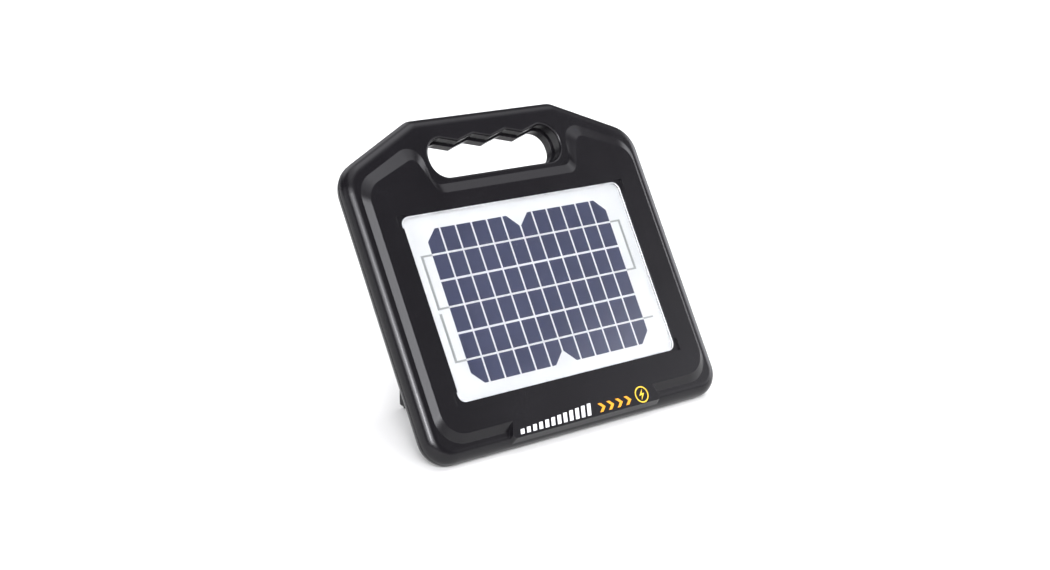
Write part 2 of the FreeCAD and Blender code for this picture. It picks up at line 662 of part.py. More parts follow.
def make_housing_fixings():
    seal = new_body("housing_seal")
    prism(seal, "ring", "Y", ("parting - seal_depth + 0.05", "parting"),
          case_outline("seal_near + 0.05"), case_outline("seal_far - 0.05"))
    screws = new_body("housing_screws")
    head = "rim_back - head_height - 0.4"
    prism(screws, "heads", "Y", (head, head + " + head_height"), *discs(SCREWS, "head_radius"))
    prism(screws, "shanks", "Y", ("rim_front + wall + 1.4", head), *discs(SCREWS, "screw_radius"))
    crosses(screws, "recess", SCREWS, (head + " + head_height", head + " + head_height - cross_depth"),
            "head_radius * 0.6")


# ---------------------------------------------------------------------------
# Solar panel
# ---------------------------------------------------------------------------
ARRAY_LEFT = "array_shift_x - cell_columns * cell_pitch / 2"
ARRAY_RIGHT = "array_shift_x + cell_columns * cell_pitch / 2"
ARRAY_LOW = "glass_low + glass_height / 2 + array_shift_z - cell_rows * row_pitch / 2"


def row_middle(row):
    """Height of a row of cells, counted from the bottom."""
    return "%s + row_pitch * %s" % (ARRAY_LOW, row + 0.5)


def make_panel():
    xs, zs = panel_frame("0")
    glass = new_body("solar_glass")
    block(glass, "sheet", xs, ("glass_front", "glass_back"), zs, "glass_radius")
    back = new_body("solar_backsheet")
    block(back, "sheet", xs, (SHEET_FRONT, SHEET_BACK), zs, "glass_radius")
    bead = new_body("panel_adhesive")
    inner_xs, inner_zs = panel_frame("-bead_width")
    prism(bead, "ring", "Y", (SHEET_BACK, LEDGE_FRONT), rectangle(xs, zs, "glass_radius"),
          rectangle(inner_xs, inner_zs, "2"))
    make_cells()
    make_ribbons()
    junction = new_body("panel_junction")
    block(junction, "cap", ("-74", "-48"), (SHEET_BACK, "6.2"), ("146", "162"), "2")


def make_cells():
    """The wafers: one shape repeated over the array, some with cut corners."""
    columns = int(size("cell_columns"))
    rows = int(size("cell_rows"))
    pitch = size("cell_pitch")
    rise = size("row_pitch")
    gap = size("cell_gap")
    cut = size("cell_chamfer")
    middle = columns // 2
    front = size(CELL_FRONT)
    wafers = []
    for row in range(rows):
        low = size(ARRAY_LOW) + row * rise + gap / 2
        high = low + rise - gap
        for column in range(columns):
            left = size(ARRAY_LEFT) + column * pitch + gap / 2
            right = left + pitch - gap
            cut_left = cut if column in (0, middle) else 0
            cut_right = cut if column in (middle - 1, columns - 1) else 0
            low_cuts = (cut_left, cut_right) if row == 0 else (0, 0)
            high_cuts = (cut_left, cut_right) if row == rows - 1 else (0, 0)
            corners = []
            for x, z, leg, across, up in ((left, low, low_cuts[0], 1, 1), (right, low, low_cuts[1], -1, 1),
                                          (right, high, high_cuts[1], -1, -1),
                                          (left, high, high_cuts[0], 1, -1)):
                if leg == 0:
                    corners.append(Vector(x, front, z))
                    continue
                cut_ends = [Vector(x, front, z + up * leg), Vector(x + across * leg, front, z)]
                corners += cut_ends if across == up else cut_ends[::-1]
            face = Part.Face(Part.makePolygon(corners + corners[:1]))
            wafers.append(face.extrude(Vector(0, size("cell_thick"), 0)))
    cell_group = doc.addObject("Part::Feature", "solar_cells")
    cell_group.Shape = Part.makeCompound(wafers)
    case_pieces.append(cell_group)


def make_ribbons():
    """Tabbing ribbons along the rows, and the bus ribbons that join the rows."""
    tabs = new_body("cell_ribbons")
    strips = []
    for row in range(int(size("cell_rows"))):
        middle = row_middle(row)
        strips.append(rectangle((ARRAY_LEFT + " + cell_gap / 2", ARRAY_RIGHT + " - cell_gap / 2"),
                                (middle + " - ribbon_width / 2", middle + " + ribbon_width / 2")))
    prism(tabs, "strips", "Y", ("ribbon_front", CELL_FRONT), *strips)
    bus = new_body("bus_ribbons")
    outer = ARRAY_LEFT + " - bus_reach"
    inner = ARRAY_LEFT + " + cell_gap / 4"
    low, middle, high = row_middle(0), row_middle(1), row_middle(2)
    half = " %s ribbon_width / 2"
    upper_left = [(inner, high + half % "+", None), (outer, high + half % "+", None),
                  (outer, middle + half % "-", None), (inner, middle + half % "-", None),
                  (inner, middle + half % "+", None), (outer + " + bus_width", middle + half % "+", None),
                  (outer + " + bus_width", high + half % "-", None), (inner, high + half % "-", None)]
    lower_left = [(inner, low + half % "+", None), (outer + " + bus_width", low + half % "+", None),
                  (outer + " + bus_width", middle + " - bus_split", None),
                  (outer, middle + " - bus_split", None),
                  (outer, low + half % "-", None), (inner, low + half % "-", None)]
    loops = [upper_left, lower_left]
    near = ARRAY_RIGHT + " - cell_gap / 4"
    far = ARRAY_RIGHT + " + bus_reach"
    loops.append([(near, high + half % "+", None), (near, high + half % "-", None),
                  (far + " - bus_width", high + half % "-", None),
                  (far + " - bus_width", middle + half % "+", None), (near, middle + half % "+", None),
                  (near, middle + half % "-", None), (far, middle + half % "-", None),
                  (far, high + half % "+", None)])
    loops.append(rectangle((near, far), (low + half % "-", low + half % "+")))
    prism(bus, "strips", "Y", (CELL_FRONT, SHEET_FRONT), *loops)


# ---------------------------------------------------------------------------
# Electronics
# ---------------------------------------------------------------------------
BOARD_BACK = "board_front + board_thick"


def make_board():
    board = new_body("circuit_board")
    block(board, "laminate", ("-board_half", "board_half"), ("board_front", BOARD_BACK),
          ("board_low", "board_high"), "2")
    prism(board, "screw_holes", "Y", ("board_front - 1", BOARD_BACK + " + 1"),
          *discs(POSTS, "small_screw + 0.2"), cut=True)
    screws = new_body("board_screws")
    prism(screws, "heads", "Y", ("board_front - 1.8", "board_front"), *discs(POSTS, "small_head"))
    prism(screws, "shanks", "Y", ("board_front", "board_front + 10"), *discs(POSTS, "small_screw"))
    core = new_body("transformer_core")
    block(core, "stack", ("-50", "-14"), ("14", "board_front - 3"), ("147", "177"))
    block(core, "left_window", ("-44.5", "-36.5"), ("13", "board_front"), ("152.5", "171.5"), cut=True)
    block(core, "right_window", ("-27.5", "-19.5"), ("13", "board_front"), ("152.5", "171.5"), cut=True)
    coil = new_body("transformer_coil")
    prism(coil, "winding", "Z", ("153", "171"), rectangle(("-43.5", "-20.5"), ("11", "board_front"), "2"),
          rectangle(("-36.5", "-27.5"), ("14", "board_front - 3")))
    make_capacitor()
    sink = new_body("heat_sink")
    block(sink, "web", ("52", "66"), ("20", "board_front"), ("158", "160"))
    for i in range(4):
        left = "%s" % (52 + i * 4)
        block(sink, "fin_%d" % i, (left, left + " + 2"), ("20", "board_front"), ("159", "168"))
    thyristor = new_body("thyristor")
    block(thyristor, "tab", ("54", "64"), ("18.5", "30"), ("156.8", "158"))
    block(thyristor, "case", ("54", "64"), ("21", "30"), ("153.6", "156.8"))
    prism(thyristor, "legs", "Y", ("30", "board_front"),
          *[rectangle(("%s" % (56 + i * 2.5), "%s" % (57 + i * 2.5)), ("156", "156.8")) for i in range(3)])
    cans = new_body("board_capacitors")
    places = [("-84", "161"), ("-74", "172"), ("76", "170")]
    prism(cans, "cans", "Y", ("24", "board_front"), *discs(places, "4"))
    dress(cans, "can_edges", "Fillet", "0.8", lambda e: lies_at(e, "Y", "24"))


def make_capacitor():
    capacitor = new_body("storage_capacitor")
    block(capacitor, "case", ("0", "42"), ("16", "board_front - 1"), ("149", "175"))
    dress(capacitor, "case_edges", "Fillet", "1.2",
          lambda e: not lies_at(e, "Y", "board_front - 1"))
    prism(capacitor, "legs", "Y", ("board_front - 1.5", "board_front"),
          disc("4", "162", "0.5"), disc("38", "162", "0.5"))


def make_battery():
    battery = new_body("battery")
    block(battery, "case", ("battery_left", "battery_right - 6"), ("battery_front", "battery_back"),
          ("battery_low", "battery_high"))
    block(battery, "lid", ("battery_right - 6", "battery_right"),
          ("battery_front + 0.8", "battery_back - 0.8"), ("battery_low + 0.8", "battery_high - 0.8"))
    tabs = new_body("battery_tabs")
    prism(tabs, "blades", "Z", ("battery_low + 18", "battery_low + 22.8"),
          rectangle(("battery_right", "battery_right + 1.2"), ("30", "40")),
          rectangle(("battery_right", "battery_right + 6.5"), ("38.8", "39.6")))
    prism(tabs, "upper_blades", "Z", ("battery_high - 22.8", "battery_high - 18"),
          rectangle(("battery_right", "battery_right + 1.2"), ("30", "40")),
          rectangle(("battery_right", "battery_right + 6.5"), ("38.8", "39.6")))
    foam = new_body("battery_foam")
    block(foam, "pad", ("battery_left + 8", "battery_right - 8"), (LEDGE_BACK, "battery_front"),
          ("battery_low + 6", "battery_high - 6"), "3")
    cover = new_body("battery_cover")
    block(cover, "plate", ("-hatch_half", "hatch_half"), ("box_back - hatch_thick", "box_back"),
          ("hatch_low", "hatch_high"), "hatch_radius - hatch_gap")
    prism(cover, "ribs", "Y", ("box_back", "box_back - 0.7"),
          *[rectangle(("-40", "40"), ("%s" % z, "%s + 2" % z), "0.9") for z in range(80, 128, 6)],
          cut=True)
    prism(cover, "screw_holes", "Y", ("box_back + 1", "box_back - hatch_thick - 1"),
          *discs(HATCH_SCREWS, "small_screw + 0.2"), cut=True)
    prism(cover, "screw_seats", "Y", ("box_back + 1", "box_back - 1.3"),
          *discs(HATCH_SCREWS, "small_head + 0.25"), cut=True)
    gasket = new_body("battery_cover_seal")
    prism(gasket, "ring", "Y", ("box_back - hatch_thick - gasket_thick", "box_back - hatch_thick"),
          rectangle(("-(hatch_half - 0.4)", "hatch_half - 0.4"), ("hatch_low + 0.4", "hatch_high - 0.4"), "4"),
          rectangle(("-(mouth_half + 0.3)", "mouth_half + 0.3"), ("mouth_low - 0.3", "mouth_high + 0.3"), "3"),
          *discs(HATCH_SCREWS, "small_screw + 0.2"))
    screws = new_body("battery_cover_screws")
    prism(screws, "heads", "Y", ("box_back - 1.3", "box_back - 0.1"), *discs(HATCH_SCREWS, "small_head"))
    prism(screws, "shanks", "Y", ("box_back - wall - mouth_frame + 0.8", "box_back - 1.3"),
          *discs(HATCH_SCREWS, "small_screw"))
    crosses(screws, "recess", HATCH_SCREWS, ("box_back - 0.1", "box_back - 0.9"), "small_head * 0.6")


def make_terminal(name, z):
    """One terminal on the right flank: collar, stud, washers, nut and knob."""
    axis = ("terminal_y", z)
    collar = new_body(name + "_collar")
    turned(collar, "profile", "X", axis, [
        ("box_half - 5", "stud_radius"), ("box_half + collar_thick", "stud_radius"),
        ("box_half + collar_thick", "collar_radius - 1.6"),
        ("box_half + collar_thick - 1", "collar_radius"), ("box_half", "collar_radius"),
        ("box_half", "4.9"), ("box_half - 5", "4.9")])
    stud = new_body(name + "_stud")
    free_end = "knob_start + knob_length"
    turned(stud, "profile", "X", axis, [
        ("stud_root", "0"), ("stud_tip", "0"), ("stud_tip", "stud_radius - 0.6"),
        ("stud_tip - 0.6", "stud_radius"), (free_end + " + stud_groove", "stud_radius"),
        (free_end + " + stud_groove", "stud_radius - 0.4"), (free_end, "stud_radius - 0.4"),
        (free_end, "stud_radius"), ("stud_root", "stud_radius")])
    washer = new_body(name + "_washer")
    turned(washer, "profile", "X", axis, [
        ("box_half + collar_thick", "stud_radius"), ("knob_start - 0.4", "stud_radius"),
        ("knob_start - 0.4", "7"), ("box_half + collar_thick", "7")])
    nut = new_body(name + "_nut")
    sketch = new_sketch(nut, "hexagon", "X", "box_half - 10")
    draw_hexagon(sketch, "terminal_y", z, "5.77")
    draw_disc(sketch, "terminal_y", z, "stud_radius")
    feature = nut.newObject("PartDesign::Pad", "prism")
    feature.Profile = sketch
    feature.Length = 5
    doc.recompute()
    make_knob(name, axis)


def draw_hexagon(sketch, u, v, radius):
    corners = []
    for i in range(6):
        turn = "%d" % (60 * i)
        corners.append(("%s + (%s) * cos(%s)" % (u, radius, turn),
                        "%s + (%s) * sin(%s)" % (v, radius, turn), None))
    draw_loop(sketch, corners)


def make_knob(name, axis):
    """A fluted knob moulded round a brass insert."""
    insert = new_body(name + "_knob_insert")
    bore = "stud_radius + knob_play"
    turned(insert, "profile", "X", axis, [
        ("knob_start", bore), ("knob_start + knob_length", bore),
        ("knob_start + knob_length", "4.6"), ("knob_start", "4.6")])
    knob = new_body(name + "_knob")
    end = "knob_start + knob_length"
    turned(knob, "profile", "X", axis, [
        ("knob_start", "4.6"), (end, "4.6"), (end, "knob_radius - 2.2"),
        (end + " - 1.6", "knob_radius - 0.6"), (end + " - 4", "knob_radius"),
        ("knob_start + 3", "knob_radius"), ("knob_start + 2.4", "6.6"), ("knob_start", "6.6")])
    flutes = 12
    grooves = []
    for i in range(flutes):
        turn = "%s" % (360 / flutes * i)
        grooves.append(disc("%s + (knob_radius + 0.7) * cos(%s)" % (axis[0], turn),
                            "%s + (knob_radius + 0.7) * sin(%s)" % (axis[1], turn), "1.5"))
    prism(knob, "flutes", "X", (end + " + 1", "knob_start + 2.9"), *grooves, cut=True)


def make_switch():
    centre = "switch_x"
    face = "box_back - strip_depth"
    holder = new_body("switch_body")
    block(holder, "bezel", (centre + " - 7.6", centre + " + 7.6"), (face, face + " + 2"),
          ("control_z - 10.7", "control_z + 10.7"), "1.4")
    block(holder, "barrel", (centre + " - 6.4", centre + " + 6.4"), (face + " - 14", face),
          ("control_z - 9.7", "control_z + 9.7"), "0.8")
    block(holder, "cradle", (centre + " - 5.6", centre + " + 5.6"), (face + " + 3", face + " - 9"),
          ("control_z - 9", "control_z + 9"), "0.6", cut=True)
    pivot_y = face + " - 0.2"
    for side in (1, -1):
        name = "right" if side > 0 else "left"
        prism(holder, "seat_" + name, "X",
              ("switch_x + %d * 5" % side, "switch_x + %d * 6" % side),
              disc(pivot_y, "control_z", "1.25"), cut=True)
    prism(holder, "tabs", "Y", (face + " - 19", face + " - 13.5"),
          *[rectangle((centre + " - 3", centre + " + 3"), ("control_z + %s" % z, "control_z + %s" % (z + 0.8)))
            for z in (-5.4, 4.6)])
    rocker = new_body("switch_rocker")
    sketch = new_sketch(rocker, "profile", "X", "switch_x - 5.3")
    half_turn = size("rocker_throw") / 2
    draw_loop(sketch, rocker_profile(half_turn))
    feature = rocker.newObject("PartDesign::Pad", "paddle")
    feature.Profile = sketch
    feature.Length = 10.6
    doc.recompute()
    prism(rocker, "trunnions", "X", ("switch_x - 5.9", "switch_x + 5.9"),
          disc(pivot_y, "control_z", "1.2"))


def rocker_profile(turn):
    """Side view of the rocker, tipped about its pivot."""
    radius = 8.6
    reach = 5.0
    root = -3.0
    shallow = 2.0
    steps = 6
    start = math.asin(root / radius)
    end = math.asin(reach / radius)
    arc = [start + (end - start) * i / steps for i in range(steps + 1)]
    lower = [(radius * math.sin(a), -radius * math.cos(a)) for a in arc]
    upper = [(y, -z) for y, z in reversed(lower)]
    outline = lower + [(shallow, 0)] + upper
    tip = math.radians(turn)
    corners = []
    for y, z in outline:
        along = y * math.cos(tip) - z * math.sin(tip)
        up = y * math.sin(tip) + z * math.cos(tip)
        corners.append(("box_back - strip_depth - 0.2 + %.6f" % along, "control_z + %.6f" % up, None))
    return corners


def make_lamps():
    lamps = new_body("indicator_lenses")
    for side in (-1, 1):
        turned(lamps, "pipe_%s" % ("left" if side < 0 else "right"), "Y",
               ("%d * lamp_x" % side, "control_z"), [
                   (BOARD_BACK + " + 0.4", "0"), ("box_back + 1.2", "0"), ("box_back + 0.8", "1.6"),
                   ("box_back - strip_depth", "2.3"), (BOARD_BACK + " + 0.4", "2.3")])


def make_socket():
    axis = ("socket_x", "control_z")
    face = "box_back - strip_depth"
    socket = new_body("charging_socket")
    turned(socket, "barrel", "Y", axis, [
        (face + " - 15", "0"), (face + " - 8.5", "0"), (face + " - 8.5", "3.2"), (face + " + 2", "3.2"),
        (face + " + 2", "7"), (face + " + 1.4", "7.6"), (face, "7.6"), (face, "5.9"),
        (face + " - 15", "5.9")])
    contact = new_body("socket_pin")
    turned(contact, "profile", "Y", axis, [
        (face + " - 8.5", "0"), (face + " - 0.6", "0"), (face + " - 0.9", "1.05"), (face + " - 8.5", "1.05")])
    nut = new_body("socket_nut")
    sketch = new_sketch(nut, "hexagon", "Y", "box_back - wall - 3")
    draw_hexagon(sketch, "socket_x", "control_z", "8.1")
    draw_disc(sketch, "socket_x", "control_z", "5.9")
    feature = nut.newObject("PartDesign::Pad", "prism")
    feature.Profile = sketch
    feature.Length = 3
    feature.Reversed = True
    doc.recompute()
    cap = new_body("socket_cap")
    turned(cap, "disc", "Y", axis, [
        (face + " + 2.3", "0"), (face + " + 4.6", "0"), (face + " + 4.6", "6.8"),
        (face + " + 3.8", "7.8"), (face + " + 2.3", "7.8")])
    turned(cap, "plug", "Y", axis, [
        (face + " + 1.2", "0"), (face + " + 2.5", "0"), (face + " + 2.5", "2.5"), (face + " + 1.2", "2.5")])
    block(cap, "tongue", ("socket_x + 7", "socket_x + 13"), (face + " + 2.6", face + " + 3.9"),
          ("control_z - 2.5", "control_z + 2.5"))
    tether = new_body("cap_tether")
    block(tether, "strap", ("socket_x + 14.4", "socket_x + 24.5"), (face + " + 2.6", face + " + 3.9"),
          ("control_z - 2.5", "control_z + 2.5"))
    turned(tether, "button", "Y", ("socket_x + 21", "control_z"), [
        (face + " - 5", "0"), (face + " + 4.3", "0"), (face + " + 4.3", "3.4"), (face, "3.4"),
        (face, "1.6"), (face + " - 5", "1.6")])


# ---------------------------------------------------------------------------
# Stand, drawn folded against the back
# ---------------------------------------------------------------------------
def floor_level():
    """Height of the floor below the leaning case's own origin."""
    turn = math.radians(size("lean_angle"))
    radius = size("back_radius")
    centre_y = size("rim_back - back_radius")
    return -centre_y * math.sin(turn) + radius * math.cos(turn) - radius


def hinge_height():
    """Height of the stand's hinge above the floor, which is the leg's length."""
    turn = math.radians(size("lean_angle"))
    return -size("hinge_y") * math.sin(turn) + size("hinge_z") * math.cos(turn) - floor_level()


def make_stand():
    leg_end = "hinge_z - %.6f" % hinge_height()
    bar_low = leg_end + " + pad_thick"
    frame = new_body("stand_frame", stand_pieces)
    front, back = "hinge_y - leg_half", "hinge_y + leg_half"
    prism(frame, "legs", "Y", (front, back), mirrored([
        ("leg_outer", bar_low, "3"), ("leg_outer", "hinge_z", None),
        ("leg_inner", "hinge_z", None), ("leg_inner", bar_low + " + foot_height", "2.5")]))
    for side in (1, -1):
        name = "right" if side > 0 else "left"
        span = ("%d * leg_inner" % side, "%d * leg_outer" % side)
        prism(frame, "knuckle_" + name, "X", span, disc("hinge_y", "hinge_z", "leg_half"))
        prism(frame, "heel_" + name, "X", span,
              rectangle(("hinge_y - heel_front", "hinge_y + heel_back"), ("hinge_z", "hinge_z + heel_reach")))
        prism(frame, "bore_" + name, "X", ("%d * (leg_outer + 1)" % side, "%d * (leg_inner - 1)" % side),
              disc("hinge_y", "hinge_z", "pin_radius + pin_play"), cut=True)
        xs = ("%d * (leg_inner + leg_web)" % side, "%d * (leg_outer - leg_web)" % side)
        if side < 0:
            xs = (xs[1], xs[0])
        block(frame, "channel_" + name, xs, (front, back + " - leg_web"),
              (bar_low + " + foot_height + 4", "hinge_z - 9"), "1.5", cut=True)
    block(frame, "bar_channel", ("-(leg_inner - 6)", "leg_inner - 6"), (front, back + " - leg_web"),
          (bar_low + " + leg_web", bar_low + " + foot_height - leg_web"), "1.5", cut=True)
    foot = new_body("stand_foot_pad", stand_pieces)
    block(foot, "strip", ("-(leg_outer - 3)", "leg_outer - 3"), (front + " + 0.3", back + " - 0.3"),
          (leg_end, bar_low))
    pins = new_body("stand_pins")
    for side in (1, -1):
        name = "right" if side > 0 else "left"
        prism(pins, "shank_" + name, "X", ("%d * pin_inset" % side, "%d * (box_half - pin_head_thick)" % side),
              disc("hinge_y", "hinge_z", "pin_radius"))
        prism(pins, "head_" + name, "X",
              ("%d * (box_half - pin_head_thick)" % side, "%d * (box_half - 0.2)" % side),
              disc("hinge_y", "hinge_z", "pin_head"))


# ---------------------------------------------------------------------------
# Wires
# ---------------------------------------------------------------------------
def round_wire(points, radius):
    """A tube along straight runs joined by tangent arcs."""
    points = [Vector(*p) for p in points]
    edges = []
    last = points[0]
    for before, corner, after in zip(points, points[1:], points[2:]):
        back = (before - corner).normalize()
        ahead = (after - corner).normalize()
        half_angle = back.getAngle(ahead) / 2
        run = min((before - corner).Length, (after - corner).Length)
        trim = 0.45 * run
        bend = trim * math.tan(half_angle)
        to_centre = (back + ahead).normalize() * (bend / math.sin(half_angle))
        centre = corner + to_centre
        middle = centre - to_centre.normalize() * bend
        start, end = corner + back * trim, corner + ahead * trim
        edges.append(Part.LineSegment(last, start).toShape())
        edges.append(Part.Arc(start, middle, end).toShape())
        last = end
    edges.append(Part.LineSegment(last, points[-1]).toShape())
    path = Part.Wire(edges)
    circle = Part.Circle(points[0], points[1] - points[0], radius).toShape()
    return path.makePipeShell([Part.Wire([circle])], True, False)


def make_leads():
    """Pairs of insulated wires between the boards, battery, panel and studs."""
    board = size("board_front") - 0.1
    right = size("battery_right") + 6.6
    stud = size("stud_root") - 0.1
    deep = size("terminal_y")
    runs = {
        "panel_leads": (1.1, [
            [(-68, 6.3, 152), (-68, 16, 152), (-80, 16, 149), (-80, board, 149)],
            [(-68, 6.3, 157), (-68, 20, 157), (-74, 20, 160), (-74, board, 160)]]),
        "battery_leads": (1.2, [
            [(right, 39.2, size("battery_low") + 20.4), (right + 5, 39.2, size("battery_low") + 20.4),
             (right + 5, 30, size("battery_low") + 44), (right + 5, 26, 146), (right + 5, board, 146)],
            [(right, 39.2, size("battery_high") - 20.4), (right + 5.5, 39.2, size("battery_high") - 20.4),
             (right + 8.5, 34, 134), (right + 8.5, 28, 148.5), (right + 8.5, board, 148.5)]]),
        "output_leads": (1.3, [
            [(78, board, 152), (78, 26, 152), (78, 26, size("fence_z")), (78, deep, size("fence_z")),
             (stud, deep, size("fence_z"))],
            [(74, board, 158), (74, 19, 158), (74, 19, size("earth_z")), (74, deep, size("earth_z")),
             (stud, deep, size("earth_z"))]]),
    }
    for label, (radius, routes) in runs.items():
        lead = doc.addObject("Part::Feature", label)
        lead.Shape = Part.makeCompound([round_wire(route, radius) for route in routes])
        case_pieces.append(lead)


# ---------------------------------------------------------------------------
# Assembly
# ---------------------------------------------------------------------------
make_front_shell()
make_rear_shell()
make_housing_fixings()
make_panel()
make_board()
make_battery()
for terminal, height in TERMINALS.items():
    make_terminal(terminal, height)
make_switch()
make_lamps()
make_socket()
make_stand()
make_leads()
doc.recompute()

lean = Rotation(Vector(1, 0, 0), -size("lean_angle"))
on_floor = Placement(Vector(0, 0, -floor_level()), lean)
hinge = Vector(0, size("hinge_y"), size("hinge_z"))
opened = Placement(Vector(0, 0, 0), Rotation(Vector(1, 0, 0), size("lean_angle")), hinge)
for piece in case_pieces:
    piece.Placement = on_floor
for piece in stand_pieces:
    piece.Placement = on_floor * opened
doc.recompute()

# The origin goes to the middle of the footprint, on the floor.
whole = FreeCAD.BoundBox()
for piece in case_pieces + stand_pieces:
    whole.add(piece.Shape.optimalBoundingBox(False, False))
centring = Placement(Vector(-whole.Center.x, -whole.Center.y, 0), Rotation())
for piece in case_pieces + stand_pieces:
    piece.Placement = centring * piece.Placement
doc.recompute()

for item in doc.Objects:
    if {"Invalid", "Error"} & set(item.State):
        raise RuntimeError("%s is %s" % (item.Label, item.State))
os.makedirs("parts", exist_ok=True)
for piece in case_pieces + stand_pieces:
    shape = piece.Shape
    if shape.isNull() or not shape.isValid():
        raise RuntimeError("%s has a bad shape" % piece.Label)
    shape.exportStep("parts/%s.step" % piece.Label)
    print("%-22s %2d solids %10.1f mm3" % (piece.Label, len(shape.Solids), shape.Volume))
print("origin of the upright case lies at", on_floor.Base + centring.Base)
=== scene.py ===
"""Looks of a portable solar fence energizer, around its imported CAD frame.

The frame is in metres.  Case coordinates are in millimetres: x to the right,
y from the face towards the back, z up the leaning face.
"""

import json
import math

import bmesh
import bpy
from mathutils import Matrix, Vector


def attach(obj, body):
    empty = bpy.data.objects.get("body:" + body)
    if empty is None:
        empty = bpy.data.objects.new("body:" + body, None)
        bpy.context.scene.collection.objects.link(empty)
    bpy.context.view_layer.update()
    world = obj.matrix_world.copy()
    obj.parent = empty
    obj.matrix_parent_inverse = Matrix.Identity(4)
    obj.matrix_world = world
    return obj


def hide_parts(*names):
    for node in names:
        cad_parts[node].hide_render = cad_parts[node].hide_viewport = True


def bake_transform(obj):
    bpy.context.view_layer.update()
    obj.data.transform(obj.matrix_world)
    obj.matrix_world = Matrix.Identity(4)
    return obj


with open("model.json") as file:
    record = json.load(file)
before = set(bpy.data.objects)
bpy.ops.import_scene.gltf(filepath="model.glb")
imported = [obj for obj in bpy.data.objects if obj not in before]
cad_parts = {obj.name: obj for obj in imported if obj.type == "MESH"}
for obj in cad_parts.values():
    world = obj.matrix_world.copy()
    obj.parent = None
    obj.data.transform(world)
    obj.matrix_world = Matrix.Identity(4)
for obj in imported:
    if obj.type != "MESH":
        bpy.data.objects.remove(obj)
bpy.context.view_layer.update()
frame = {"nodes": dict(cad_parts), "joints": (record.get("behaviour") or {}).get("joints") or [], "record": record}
scene = bpy.context.scene

# ---------------------------------------------------------------------------
# Where the case lies
# ---------------------------------------------------------------------------
MM = 0.001
STAND_HINGE = (0.0, 54.2, 163.0)     # the stand's axis, in case coordinates
STAND_JOINT = next(joint for joint in frame["joints"] if joint["name"] == "stand_fold")
LEAN = math.radians(STAND_JOINT["range_deg"][1])
TILT = Matrix.Rotation(-LEAN, 3, "X")
CASE_ORIGIN = Vector(STAND_JOINT["pos_m"]) - TILT @ Vector(STAND_HINGE) * MM
CASE = Matrix.Translation(CASE_ORIGIN) @ TILT.to_4x4() @ Matrix.Scale(MM, 4)


def at(x, y, z):
    """A point of the case as it lies in the frame."""
    return CASE @ Vector((x, y, z))


def facing(x, y, z):
    """A direction of the case as it lies in the frame."""
    return TILT @ Vector((x, y, z))


def case_span(node):
    """Lowest and highest corner of a CAD node in case coordinates."""
    into_case = CASE.inverted()
    points = [into_case @ vertex.co for vertex in frame["nodes"][node].data.vertices]
    low = Vector(min(point[i] for point in points) for i in range(3))
    high = Vector(max(point[i] for point in points) for i in range(3))
    return low, high


def skin_level(node, start, towards):
    """Where a ray from a case point first meets a node, in case coordinates."""
    target = frame["nodes"][node]
    into_target = target.matrix_world.inverted()
    origin = into_target @ at(*start)
    direction = into_target.to_3x3() @ facing(*towards)
    hit, place, _, _ = target.ray_cast(origin, direction)
    if not hit:
        raise ValueError("no surface of %s that way" % node)
    return CASE.inverted() @ (target.matrix_world @ place)


# ---------------------------------------------------------------------------
# Node trees
# ---------------------------------------------------------------------------
class Nodes:
    """A node tree, emptied, with shortcuts for adding to it."""

    def __init__(self, tree):
        self.tree = tree
        self.tree.nodes.clear()

    def add(self, kind, **properties):
        node = self.tree.nodes.new(kind)
        for key, value in properties.items():
            setattr(node, key, value)
        return node

    def link(self, source, target):
        self.tree.links.new(source, target)

    def set(self, node, **sockets):
        """Set input sockets by name, with _ for each space."""
        for key, value in sockets.items():
            node.inputs[key.replace("_", " ")].default_value = value

    def math(self, operation, a, b=0.0):
        """A math node's result, from numbers or sockets."""
        node = self.add("ShaderNodeMath", operation=operation)
        for socket, value in zip(node.inputs, (a, b)):
            if isinstance(value, (int, float)):
                socket.default_value = value
            else:
                self.link(value, socket)
        return node.outputs[0]

    def spread(self, factor, interpolation="LINEAR", **limits):
        """The factor mapped from one range onto another, 0 to 1 where a limit isn't given."""
        node = self.add("ShaderNodeMapRange", interpolation_type=interpolation)
        self.set(node, **limits)
        self.link(factor, node.inputs["Value"])
        return node.outputs[0]

    def ramp(self, factor, low, high):
        """The factor stretched so that low becomes 0 and high becomes 1."""
        return self.spread(factor, From_Min=low, From_Max=high)


